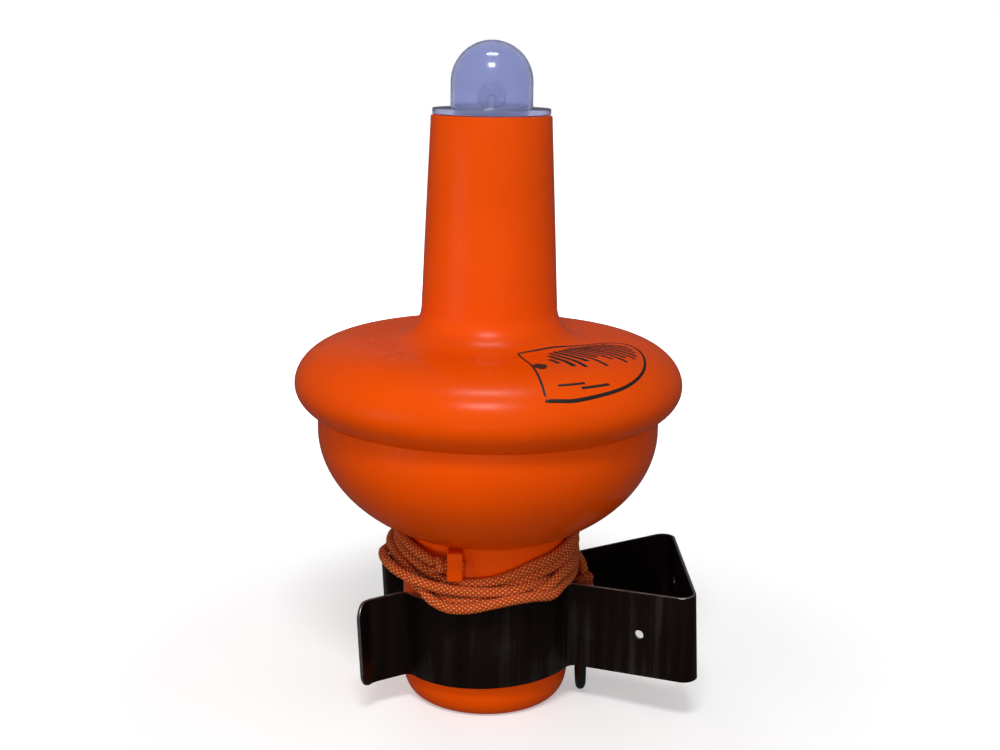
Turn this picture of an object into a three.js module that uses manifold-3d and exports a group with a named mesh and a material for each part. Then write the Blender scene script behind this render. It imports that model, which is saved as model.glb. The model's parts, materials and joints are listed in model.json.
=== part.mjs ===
// Self-igniting lifebuoy light with its lanyard and spring-clip bracket.
// Millimetres, +Z up. The origin is the centre of the battery case's flat base.
// The bracket's wall plate faces +X and the lanyard's lug is at the front, towards -Y.

import * as THREE from 'three';
import { mergeVertices } from 'three/addons/utils/BufferGeometryUtils.js';
import Module from 'manifold-3d';

const wasm = await Module();
wasm.setup();

// ---------------------------------------------------------------- driving dimensions

const clearance = 0.3;
const wall = 2.3;
const largeRound = 28;
const mediumRound = 20;
const smallRound = 14;

const caseRadius = 38.8;
const caseWall = 2.4;
const caseFloor = 3;
const caseTop = 126;
const baseFillet = 7;
const baseFilletHeight = 12;

const lugX = -13.7;
const lugWidth = 7;
const lugFront = 43.7;
const lugBottom = 67.8;
const lugTop = 80.9;
const lugEyeRadius = 2.4;
const lugEyeDepth = 40.1;
const lugEyeHeight = 74.3;

const bowlRadius = 77.6;
const bowlDepth = 54.3;
const bowlWidest = 128;
const bowlTop = 141;
const mouthHeight = 81.6;
const boreRadius = caseRadius + 0.4;
const sleeveRadius = 43.2;
const flangeUnder = 135;
const flangeTop = 137;
const flangeHole = 33;

const rimCentre = 58.6;
const rimReach = 29.1;
const rimWidest = 149.3;
const rimRise = 19.8;
const rimDrop = 18.2;
const discTop = rimWidest + rimRise;
const neckFillet = 15;
const neckTop = 268;
const neckTopRadius = 26.7;
const neckTaper = 0.0463;
const neckBore = 20.4;
const ledgeTop = 253.5;
const ledgeUnder = 250.5;
const ledgeHole = 14;

const sealWire = 1;
const caseSealRadius = boreRadius + 0.95;
const caseSealHeight = 86;
const lensSealRadius = 22.3;
const lensSealHeight = 267;

const lensRadius = 18.05;
const lensWall = 1.6;
const lensTop = 300;
const lensFlangeRadius = 26;
const lensFlangeUnder = neckTop + clearance;
const lensFlangeTop = 271;
const lensSkirtRadius = 20;
const lensSkirtEnd = 258;

const cellRadius = 17;
const cellLength = 61;
const cellNubRadius = 4.8;
const cellNubHeight = 1.6;
const columnOffset = cellRadius + clearance;
const firstCellBase = caseFloor + 1.2;
const secondCellBase = firstCellBase + cellLength + clearance;

const deckUnder = 132;
const deckThickness = 2.6;
const deckTop = deckUnder + deckThickness;
const screwCircle = 36;
const screwCount = 3;
const screwHoleRadius = 1.75;

const switchX = -10;
const switchY = 8;
const switchRadius = 6.5;
const switchBore = 4.5;
const ballRadius = 4.2;
const switchBase = deckTop + clearance;
const switchTop = 170;

const holderBase = 240;
const holderTop = 262;
const bulbRadius = 6.5;
const bulbCentre = 275.5;

const stripThickness = 1.5;
const stripHeight = 40;
const stripBase = 16.9;
const stripTilt = THREE.MathUtils.degToRad(3);
const plateFace = 94.5;
const plateHalf = 37.4;
const plateBend = 116.35;
const frontFlare = 12.2;
const rearFlare = 6;
const boltHoleRadius = 2.15;
const plateHoleY = 30;
const armHoleX = 69.3;
const armHoleY = 34.1;
const tipRadius = 7;

const cordRadius = 2.25;
const windingBottom = 60;
const windingTop = 80;
const windingRadius = 47;

const hookRod = 2.25;
const hookX = 45.2;
const hookY = -4;
const hookBowCentre = 10.8;
const hookBowRadius = 8;
const hookEyeCentre = 42.2;
const hookEyeRadius = 5;
const gateBottom = 18.6;
const gatePivotHeight = 34;
const hookPinRadius = 0.62;
const hookPinHoleRadius = 0.95;

// ---------------------------------------------------------------- materials

function material(color, roughness, metalness) {
  return new THREE.MeshStandardMaterial({ color, roughness, metalness });
}

const floatOrange = () => material(0xe24a03, 0.42, 0);
const cordOrange = () => material(0xd9501a, 0.85, 0);
const blackRubber = () => material(0x16161a, 0.7, 0);
const springSteel = () => material(0x1c1714, 0.35, 0.8);
const brightSteel = () => material(0x9a9c94, 0.3, 1);
const brass = () => material(0xc9a24a, 0.35, 1);

// ---------------------------------------------------------------- geometry helpers

const point = (x, y) => new THREE.Vector2(x, y);

function arc(cx, cy, rx, ry, fromDegrees, toDegrees, steps) {
  const points = [];
  for (let i = 0; i <= steps; i += 1) {
    const angle = THREE.MathUtils.degToRad(fromDegrees + ((toDegrees - fromDegrees) * i) / steps);
    points.push(point(cx + rx * Math.cos(angle), cy + ry * Math.sin(angle)));
  }
  return points;
}

// Turns a closed profile of (radius, height) points about the Z axis.
function turned(profile, segments) {
  const closed = [...profile, profile[0].clone()];
  if (THREE.ShapeUtils.area(closed) < 0) closed.reverse();
  return new THREE.LatheGeometry(closed, segments).rotateX(Math.PI / 2);
}

// Merges shared vertices and drops the flat triangles that a lathe leaves at its poles.
function welded(geometry) {
  const plain = geometry.clone();
  plain.deleteAttribute('normal');
  plain.deleteAttribute('uv');
  const merged = mergeVertices(plain, 1e-4);
  const index = merged.index.array;
  const kept = [];
  for (let i = 0; i < index.length; i += 3) {
    const [a, b, c] = [index[i], index[i + 1], index[i + 2]];
    if (a !== b && b !== c && c !== a) kept.push(a, b, c);
  }
  merged.setIndex(kept);
  return merged;
}

function toSolid(geometry) {
  const merged = welded(geometry);
  const mesh = new wasm.Mesh({
    numProp: 3,
    vertProperties: merged.attributes.position.array,
    triVerts: new Uint32Array(merged.index.array),
  });
  return new wasm.Manifold(mesh);
}

function toGeometry(solid) {
  const mesh = solid.getMesh();
  const geometry = new THREE.BufferGeometry();
  geometry.setAttribute('position', new THREE.BufferAttribute(mesh.vertProperties, mesh.numProp));
  geometry.setIndex(new THREE.BufferAttribute(mesh.triVerts, 1));
  return geometry;
}

function cut(geometry, ...tools) {
  return toGeometry(tools.reduce((solid, tool) => solid.subtract(toSolid(tool)), toSolid(geometry)));
}

function join(geometry, ...others) {
  return toGeometry(others.reduce((solid, other) => solid.add(toSolid(other)), toSolid(geometry)));
}

// An upright cylinder between two heights.
function rod(radius, bottom, top, segments, x = 0, y = 0) {
  const geometry = new THREE.CylinderGeometry(radius, radius, top - bottom, segments);
  return geometry.rotateX(Math.PI / 2).translate(x, y, (bottom + top) / 2);
}

function tube(curve, radius, sides, steps) {
  const section = new THREE.Shape();
  for (let i = 0; i < sides; i += 1) {
    const angle = (2 * Math.PI * i) / sides;
    const [x, y] = [radius * Math.cos(angle), radius * Math.sin(angle)];
    if (i === 0) section.moveTo(x, y);
    else section.lineTo(x, y);
  }
  section.closePath();
  return new THREE.ExtrudeGeometry(section, { steps, extrudePath: curve });
}

function smoothTube(points, radius, sides, steps) {
  return tube(new THREE.CatmullRomCurve3(points.map((p) => new THREE.Vector3(...p))), radius, sides, steps);
}

function ring(radius, wire, height) {
  return turned(arc(radius, height, wire, wire, 0, 300, 5), largeRound);
}

// ---------------------------------------------------------------- the light's shells

function batteryCase() {
  const inner = caseRadius - caseWall;
  const shell = turned([
    point(0, 0),
    ...arc(caseRadius - baseFillet, baseFilletHeight, baseFillet, baseFilletHeight, -90, 0, 6),
    point(caseRadius, caseTop),
    point(inner, caseTop),
    point(inner, caseFloor + 5),
    point(inner - 1.5, caseFloor),
    point(0, caseFloor),
  ], largeRound);
  const lugRoot = 30;
  const lugBlock = new THREE.BoxGeometry(lugWidth, lugFront - lugRoot, lugTop - lugBottom)
    .translate(lugX, -(lugFront + lugRoot) / 2, (lugTop + lugBottom) / 2);
  const lug = cut(lugBlock, rod(caseRadius - caseWall / 2, lugBottom - 1, lugTop + 1, largeRound));
  const eye = new THREE.CylinderGeometry(lugEyeRadius, lugEyeRadius, lugWidth + 4, 12)
    .rotateZ(Math.PI / 2)
    .translate(lugX, -lugEyeDepth, lugEyeHeight);
  return cut(join(shell, lug), eye);
}

function lowerFloatShell() {
  const mouth = boreRadius + 1.1;
  const mouthTurn = -THREE.MathUtils.radToDeg(Math.acos(mouth / bowlRadius));
  const inner = bowlRadius - wall;
  const innerTurn = -THREE.MathUtils.radToDeg(Math.acos(sleeveRadius / inner));
  const grooveRadius = caseSealRadius + sealWire + 0.45;
  const grooveHalf = sealWire + clearance;
  const shell = turned([
    point(boreRadius, mouthHeight),
    ...arc(0, bowlWidest, bowlRadius, bowlDepth, mouthTurn, 0, 9),
    point(bowlRadius, bowlTop),
    point(inner, bowlTop),
    ...arc(0, bowlWidest, inner, bowlDepth - wall, 0, innerTurn, 5),
    point(sleeveRadius, flangeTop),
    point(flangeHole, flangeTop),
    point(flangeHole, flangeUnder),
    point(boreRadius, flangeUnder),
    point(boreRadius, caseSealHeight + grooveHalf),
    point(grooveRadius, caseSealHeight + grooveHalf),
    point(grooveRadius, caseSealHeight - grooveHalf),
    point(boreRadius, caseSealHeight - grooveHalf),
  ], largeRound);
  return cut(shell, ...screwHoles(flangeUnder, flangeTop));
}

function neckRadiusAt(height) {
  return neckTopRadius + neckTaper * (neckTop - height);
}

function upperFloatShell() {
  const lip = bowlRadius + clearance + 0.05;
  const lipTurn = -THREE.MathUtils.radToDeg(Math.acos((lip - rimCentre) / rimReach));
  const innerReach = rimReach - wall;
  const innerLipTurn = -THREE.MathUtils.radToDeg(Math.acos((lip - rimCentre) / innerReach));
  const lean = Math.atan(neckTaper);
  const leanDegrees = THREE.MathUtils.radToDeg(lean);
  const filletHeight = discTop + neckFillet;
  const filletRadius = neckRadiusAt(filletHeight) + neckFillet / Math.cos(lean);
  const groove = sealWire + clearance;
  return turned([
    ...arc(rimCentre, rimWidest, rimReach, rimDrop, lipTurn, 0, 4),
    ...arc(rimCentre, rimWidest, rimReach, rimRise, 0, 90, 7).slice(1),
    ...arc(filletRadius, filletHeight, neckFillet, neckFillet, 270, 180 + leanDegrees, 5),
    point(neckTopRadius, neckTop - 0.8),
    point(neckTopRadius - 0.8, neckTop),
    point(lensSealRadius + groove, neckTop),
    point(lensSealRadius + groove, lensSealHeight - groove),
    point(lensSealRadius - groove, lensSealHeight - groove),
    point(lensSealRadius - groove, neckTop),
    point(neckBore, neckTop),
    point(neckBore, ledgeTop),
    point(ledgeHole, ledgeTop),
    point(ledgeHole, ledgeUnder),
    point(neckRadiusAt(ledgeUnder) - wall, ledgeUnder),
    ...arc(filletRadius, filletHeight, neckFillet + wall, neckFillet + wall, 180 + leanDegrees, 270, 3),
    ...arc(rimCentre, rimWidest, innerReach, rimRise - wall, 90, 0, 4),
    ...arc(rimCentre, rimWidest, innerReach, rimDrop - wall, 0, innerLipTurn, 3).slice(1),
  ], largeRound);
}

function floatFoam() {
  return turned([
    point(sleeveRadius + 1, 96),
    point(58, 100),
    point(70, 116),
    point(73.5, 130),
    point(73.5, 150),
    point(66, 160),
    point(sleeveRadius + 1, 163),
  ], largeRound);
}

function lensDome() {
  const centre = lensTop - lensRadius;
  const inner = lensRadius - lensWall;
  return turned([
    ...arc(0, centre, lensRadius, lensRadius, 90, 0, 7),
    point(lensRadius, lensFlangeTop),
    point(lensFlangeRadius, lensFlangeTop),
    point(lensFlangeRadius, lensFlangeUnder),
    point(lensSkirtRadius, lensFlangeUnder),
    point(lensSkirtRadius, lensSkirtEnd),
    point(lensSkirtRadius - 2.4, lensSkirtEnd),
    point(inner, lensFlangeTop),
    ...arc(0, centre, inner, inner, 0, 90, 5),
  ], largeRound);
}

// ---------------------------------------------------------------- battery pack and deck

function cell() {
  return turned([
    point(0, 0),
    point(cellRadius, 0),
    point(cellRadius, cellLength - cellNubHeight - 1),
    point(cellRadius - 1, cellLength - cellNubHeight),
    point(cellNubRadius, cellLength - cellNubHeight),
    point(cellNubRadius, cellLength),
    point(0, cellLength),
  ], smallRound + 2);
}

function batteryCradle() {
  const [bottom, top] = [firstCellBase + 4, 122];
  const block = rod(caseRadius - caseWall - 0.5, bottom, top, largeRound);
  const pocket = (x) => rod(cellRadius + 0.5, bottom - 1, top + 1, mediumRound, x, 0);
  return cut(block, pocket(-columnOffset), pocket(columnOffset));
}

function screwPlaces() {
  const places = [];
  for (let i = 0; i < screwCount; i += 1) {
    const angle = Math.PI / 2 + (2 * Math.PI * i) / screwCount;
    places.push([screwCircle * Math.cos(angle), screwCircle * Math.sin(angle)]);
  }
  return places;
}

function screwHoles(bottom, top) {
  return screwPlaces().map(([x, y]) => rod(screwHoleRadius, bottom - 1, top + 1, 10, x, y));
}

function contactDeck() {
  const plate = rod(boreRadius - 0.6, deckUnder, deckTop, largeRound);
  return cut(plate, ...screwHoles(deckUnder, deckTop));
}

function deckScrew() {
  const headTop = deckUnder - clearance;
  const headBottom = headTop - 2.2;
  return turned([
    point(0, headBottom),
    point(2.6, headBottom),
    point(2.6, headTop),
    point(1.4, headTop),
    point(1.4, flangeTop - 0.4),
    point(0, flangeTop - 0.4),
  ], 10);
}

function contactSpring() {
  const turns = 2.5;
  const wire = 0.45;
  const bottom = secondCellBase + cellLength + clearance + wire;
  const top = deckUnder - clearance - wire;
  const points = [];
  for (let i = 0; i <= 20; i += 1) {
    const share = i / 20;
    const angle = 2 * Math.PI * turns * share;
    const radius = 4 + 3 * share;
    points.push([radius * Math.cos(angle), radius * Math.sin(angle), bottom + (top - bottom) * share]);
  }
  return smoothTube(points, wire, 6, 30);
}

// ---------------------------------------------------------------- switch, lamp and wires

function switchTube() {
  return turned([
    point(0, switchBase),
    point(switchRadius, switchBase),
    point(switchRadius, switchTop),
    point(switchBore, switchTop),
    point(switchBore, switchBase + 2.4),
    point(0, switchBase + 2.4),
  ], smallRound);
}

function switchCap() {
  return turned([
    point(0, switchTop - 3),
    point(switchBore - 0.4, switchTop - 3),
    point(switchBore - 0.4, switchTop + clearance),
    point(switchRadius, switchTop + clearance),
    point(switchRadius, switchTop + 2.8),
    point(0, switchTop + 2.8),
  ], smallRound);
}

function switchBall() {
  const centre = switchBase + 2.4 + clearance + ballRadius;
  return turned(arc(0, centre, ballRadius, ballRadius, -90, 90, 7), smallRound);
}

function lampHolder() {
  return turned([
    point(0, holderBase),
    point(11, holderBase),
    point(11, ledgeTop + clearance),
    point(neckBore - 0.5, ledgeTop + clearance),
    point(neckBore - 0.5, ledgeTop + 2.9),
    point(8, ledgeTop + 2.9),
    point(8, holderTop),
    point(5.1, holderTop),
    point(5.1, holderBase + 4),
    point(0, holderBase + 4),
  ], mediumRound);
}

function reflector() {
  return turned([
    point(8.2, holderTop + 0.4),
    point(9, holderTop + 0.4),
    point(15.6, 270),
    point(15.2, 270.7),
    point(8.2, holderTop + 1.4),
  ], mediumRound);
}

function bulbCap() {
  return turned([
    point(0, holderBase + 4.3),
    point(3, holderBase + 4.3),
    point(4.7, holderBase + 6),
    point(4.7, 265.5),
    point(0, 265.5),
  ], smallRound);
}

function bulbGlass() {
  const skin = 0.6;
  const neck = 4.1;
  const turn = THREE.MathUtils.radToDeg(Math.acos(neck / bulbRadius));
  const inner = bulbRadius - skin;
  const innerTurn = THREE.MathUtils.radToDeg(Math.acos((neck - skin) / inner));
  return turned([
    point(neck, 265.8),
    ...arc(0, bulbCentre, bulbRadius, bulbRadius, -turn, 90, 7),
    ...arc(0, bulbCentre, inner, inner, 90, -innerTurn, 6),
    point(neck - skin, 265.8),
  ], smallRound);
}

function bulbFilament() {
  const foot = 265.9;
  return smoothTube([
    [-1.5, 0, foot],
    [-1.9, 0, foot + 6],
    [-1.6, 0, foot + 9.4],
    [0, 0, foot + 10.4],
    [1.6, 0, foot + 9.4],
    [1.9, 0, foot + 6],
    [1.5, 0, foot],
  ], 0.3, 6, 18);
}

function supplyWire() {
  return smoothTube([
    [switchX, switchY, switchTop + 3.2],
    [switchX - 2, switchY + 1, 184],
    [-9, 5, 205],
    [-5, 2, 224],
    [-4, 0, holderBase - clearance - 0.2],
  ], 0.9, 8, 16);
}

function returnWire() {
  return smoothTube([
    [12, -6, deckTop + 0.5],
    [13, -8, 150],
    [10, -9, 180],
    [6, -4, 212],
    [4, 0, holderBase - clearance - 0.2],
  ], 0.9, 8, 20);
}

// ---------------------------------------------------------------- bracket

// Follows bends and straight runs in plan, as a strip bender does.
function bentLine(start, headingDegrees, moves) {
  let heading = THREE.MathUtils.degToRad(headingDegrees);
  const at = start.clone();
  const points = [at.clone()];
  for (const { run, radius, turn } of moves) {
    if (run) {
      at.add(point(run * Math.cos(heading), run * Math.sin(heading)));
      points.push(at.clone());
      continue;
    }
    const total = THREE.MathUtils.degToRad(turn);
    const side = Math.sign(total);
    const centre = point(at.x - side * radius * Math.sin(heading), at.y + side * radius * Math.cos(heading));
    const steps = Math.max(3, Math.ceil(Math.abs(turn) / 11));
    for (let i = 1; i <= steps; i += 1) {
      const bearing = heading + (total * i) / steps;
      at.set(centre.x + side * radius * Math.sin(bearing), centre.y - side * radius * Math.cos(bearing));
      points.push(at.clone());
    }
    heading += total;
  }
  return points;
}

// Half of the strip's centreline on the front side, from the middle of the wall plate to the flare's tip.
function halfLine(flareRun) {
  return bentLine(point(plateFace - stripThickness / 2, 0), -90, [
    { run: plateHalf },
    { radius: 5.5, turn: -plateBend },
    { run: 48.9 },
    { radius: 5, turn: 84.05 },
    { radius: 41.75, turn: -111.2 },
    { radius: 4.5, turn: 82 },
    { run: flareRun },
    { radius: 10, turn: 42 },
    { run: 4.5 },
  ]);
}

function offsetLine(line, distance) {
  return line.map((p, i) => {
    const before = line[Math.max(i - 1, 0)];
    const after = line[Math.min(i + 1, line.length - 1)];
    const along = after.clone().sub(before).normalize();
    return point(p.x - along.y * distance, p.y + along.x * distance);
  });
}

// Takes the square corners off a flare's tip, leaving round ones.
function tipCorners(tip, before, radius) {
  const along = tip.clone().sub(before).normalize();
  const across = Math.atan2(along.y, along.x);
  const corner = new THREE.Shape();
  corner.moveTo(1, 1);
  corner.lineTo(-radius, 1);
  corner.lineTo(-radius, 0);
  corner.absarc(-radius, -radius, radius, Math.PI / 2, 0, true);
  corner.lineTo(1, -radius);
  corner.closePath();
  const depth = 8;
  const upper = new THREE.ExtrudeGeometry(corner, { depth, bevelEnabled: false, curveSegments: 5 })
    .translate(0, 0, -depth / 2)
    .rotateX(Math.PI / 2);
  const lower = upper.clone().rotateX(Math.PI);
  upper.translate(0, 0, stripHeight);
  return [upper, lower].map((geometry) => geometry.rotateZ(across).translate(tip.x, tip.y, 0));
}

function bracketStrip() {
  const front = halfLine(frontFlare);
  const rear = halfLine(rearFlare).map((p) => point(p.x, -p.y));
  const line = [...rear.slice(1).reverse(), ...front];
  const outline = [
    ...offsetLine(line, stripThickness / 2),
    ...offsetLine(line, -stripThickness / 2).reverse(),
  ];
  const strip = new THREE.ExtrudeGeometry(
    new THREE.Shape(outline),
    { depth: stripHeight, bevelEnabled: false },
  );
  const cutters = [];
  const middle = stripHeight / 2;
  const drill = () => new THREE.CylinderGeometry(boltHoleRadius, boltHoleRadius, 5 * stripThickness, 12);
  const frontArm = Math.PI / 2 - THREE.MathUtils.degToRad(plateBend);
  cutters.push(drill().rotateZ(frontArm).translate(armHoleX, -armHoleY, middle));
  for (const side of [-1, 1]) {
    cutters.push(drill().rotateZ(Math.PI / 2).translate(plateFace, side * plateHoleY, middle));
  }
  for (const half of [front, rear]) {
    cutters.push(...tipCorners(half[half.length - 1], half[half.length - 2], tipRadius));
  }
  return cut(strip, ...cutters);
}

// ---------------------------------------------------------------- lanyard and snap hook

function cordWinding() {
  const winding = turned([
    point(caseRadius + 0.4, windingBottom),
    point(windingRadius, windingBottom),
    point(windingRadius, windingTop),
    point(caseRadius + 0.4, windingTop),
  ], largeRound);
  const notch = new THREE.BoxGeometry(18, 26, windingTop - lugBottom + 4)
    .translate(lugX - 4.7, -46, (windingTop + lugBottom) / 2 + 1);
  return cut(winding, notch);
}

function cordKnot() {
  return turned(arc(0, 0, 3.6, 4.2, -90, 90, 6), 12)
    .translate(lugX - lugWidth / 2 - 3.9, -lugEyeDepth, lugEyeHeight);
}

function cordFrontLoop() {
  return smoothTube([
    [-28.4, -41.2, 62.8],
    [-25.9, -42.8, 57.4],
    [-19.6, -45.1, 54.7],
    [-12.7, -47.1, 55.1],
    [-2.7, -48.7, 57.9],
    [4.9, -49.2, 60.8],
    [9.7, -49.1, 62.7],
  ], cordRadius, 8, 14);
}

function cordTail() {
  const bottom = hookEyeCentre + hookEyeRadius + hookRod + clearance;
  const top = windingBottom - clearance;
  return turned([
    point(0, bottom),
    point(2.6, bottom),
    point(4.4, bottom + 3),
    point(4.4, top - 3),
    point(2.6, top),
    point(0, top),
  ], 10).translate(hookX + 0.6, hookY, 0);
}

// The hook's outline lies in the YZ plane; across is measured from its own middle.
const hookSideAt = (height) => hookBowRadius
  + ((hookEyeRadius - hookBowRadius) * (height - hookBowCentre)) / (hookEyeCentre - hookBowCentre);

const hookPinHole = () => new THREE.CylinderGeometry(
  hookPinHoleRadius,
  hookPinHoleRadius,
  4 * hookRod,
  10,
).rotateZ(Math.PI / 2);

function hookBody() {
  const tongueFoot = gatePivotHeight + 3.4;
  const line = [
    point(-hookSideAt(gateBottom), gateBottom),
    ...arc(0, hookBowCentre, hookBowRadius, hookBowRadius, 180, 360, 9),
    ...arc(0, hookEyeCentre, hookEyeRadius, hookEyeRadius, 0, 180, 8),
    point(-hookSideAt(tongueFoot), tongueFoot),
  ];
  const bar = smoothTube(line.map((p) => [0, p.x, p.y]), hookRod, 8, 36);
  const tongue = new THREE.BoxGeometry(1.5, 3.4, 7.4)
    .translate(0, -hookSideAt(gatePivotHeight), gatePivotHeight + 1.6);
  const pinHole = hookPinHole().translate(0, -hookSideAt(gatePivotHeight), gatePivotHeight);
  return cut(join(bar, tongue), pinHole).translate(hookX, hookY, 0);
}

function hookGate() {
  const top = gatePivotHeight + 2.8;
  const bottom = gateBottom + clearance + 0.4;
  const lean = Math.atan2(hookSideAt(bottom) - hookSideAt(top), top - bottom);
  const pivotY = -hookSideAt(gatePivotHeight);
  const bar = rod(hookRod, bottom - gatePivotHeight, top - gatePivotHeight, 10);
  const slot = new THREE.BoxGeometry(2.2, 8, 8.4).translate(0, 0, 0.6);
  return cut(bar, slot, hookPinHole()).rotateX(-lean).translate(hookX, hookY + pivotY, gatePivotHeight);
}

function hookPin() {
  return new THREE.CylinderGeometry(hookPinRadius, hookPinRadius, 2 * hookRod - 0.1, 10)
    .rotateZ(Math.PI / 2)
    .translate(hookX, hookY - hookSideAt(gatePivotHeight), gatePivotHeight);
}

// ---------------------------------------------------------------- assembly

function named(name, geometry, surface) {
  const mesh = new THREE.Mesh(geometry, surface);
  mesh.name = name;
  return mesh;
}

function batteryPack() {
  const pack = new THREE.Group();
  const columns = [-columnOffset, columnOffset];
  const levels = [firstCellBase, secondCellBase];
  let count = 0;
  for (const [column, x] of columns.entries()) {
    for (const base of levels) {
      count += 1;
      const battery = named(`battery_${count}`, cell(), material(0x2b2d33, 0.35, 0.4));
      battery.position.set(x, 0, column === 0 ? base : base + cellLength);
      battery.rotation.x = column === 0 ? 0 : Math.PI;
      pack.add(battery);
    }
  }
  const strap = new THREE.BoxGeometry(2 * columnOffset + 12, 12, 0.5).translate(0, 0, caseFloor + 0.6);
  pack.add(named('bottom_strap', strap, brightSteel()));
  pack.add(named('battery_cradle', batteryCradle(), material(0xd8d8d0, 0.6, 0)));
  return pack;
}

function floatUnit() {
  const unit = new THREE.Group();
  unit.add(named('lower_float_shell', lowerFloatShell(), floatOrange()));
  unit.add(named('upper_float_shell', upperFloatShell(), floatOrange()));
  unit.add(named('float_foam', floatFoam(), material(0xf1ead6, 0.95, 0)));
  unit.add(named('contact_deck', contactDeck(), material(0x7a5a30, 0.6, 0)));
  for (const [i, [x, y]] of screwPlaces().entries()) {
    const screw = named(`deck_screw_${i + 1}`, deckScrew(), brightSteel());
    screw.position.set(x, y, 0);
    unit.add(screw);
  }
  for (const [side, x] of [['left', -columnOffset], ['right', columnOffset]]) {
    const spring = named(`contact_spring_${side}`, contactSpring(), brightSteel());
    spring.position.set(x, 0, 0);
    unit.add(spring);
  }
  const gravitySwitch = new THREE.Group();
  gravitySwitch.position.set(switchX, switchY, 0);
  gravitySwitch.add(named('switch_tube', switchTube(), material(0xe6e2d4, 0.5, 0)));
  gravitySwitch.add(named('switch_ball', switchBall(), brightSteel()));
  gravitySwitch.add(named('switch_cap', switchCap(), brass()));
  unit.add(gravitySwitch);
  unit.add(named('supply_wire', supplyWire(), material(0xb01510, 0.5, 0)));
  unit.add(named('return_wire', returnWire(), material(0x151515, 0.5, 0)));
  return unit;
}

function lampUnit() {
  const unit = new THREE.Group();
  unit.add(named('lamp_holder', lampHolder(), material(0xe9e9e4, 0.5, 0)));
  unit.add(named('reflector', reflector(), material(0xd9dce2, 0.12, 1)));
  unit.add(named('bulb_cap', bulbCap(), brass()));
  unit.add(named('bulb_glass', bulbGlass(), material(0xdfe6f5, 0.05, 0)));
  unit.add(named('bulb_filament', bulbFilament(), material(0x5a5a60, 0.4, 1)));
  unit.add(named('lens_seal', ring(lensSealRadius, sealWire, lensSealHeight), blackRubber()));
  unit.add(named('lens_dome', lensDome(), material(0xaab4e0, 0.08, 0)));
  return unit;
}

function lanyard() {
  const unit = new THREE.Group();
  unit.add(named('cord_winding', cordWinding(), cordOrange()));
  unit.add(named('cord_knot', cordKnot(), cordOrange()));
  unit.add(named('cord_front_loop', cordFrontLoop(), cordOrange()));
  unit.add(named('cord_tail', cordTail(), cordOrange()));
  unit.add(named('hook_body', hookBody(), brightSteel()));
  unit.add(named('hook_gate', hookGate(), brightSteel()));
  unit.add(named('hook_pin', hookPin(), brightSteel()));
  return unit;
}

function lifebuoyLight() {
  const light = new THREE.Group();
  light.add(named('battery_case', batteryCase(), floatOrange()));
  light.add(named('case_seal', ring(caseSealRadius, sealWire, caseSealHeight), blackRubber()));
  light.add(batteryPack());
  light.add(floatUnit());
  light.add(lampUnit());
  light.add(lanyard());

  const bracket = named('bracket_strip', bracketStrip(), springSteel());
  bracket.position.set((stripHeight / 2) * Math.sin(stripTilt), 0, stripBase);
  bracket.rotation.y = -stripTilt;
  light.add(bracket);
  return light;
}

export default lifebuoyLight();
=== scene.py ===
"""Looks of a self-igniting lifebuoy light with its lanyard and spring-clip bracket."""

import json
from math import acos, atan, atan2, ceil, copysign, cos, degrees, hypot, pi, radians, sin, sqrt, tan

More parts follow.
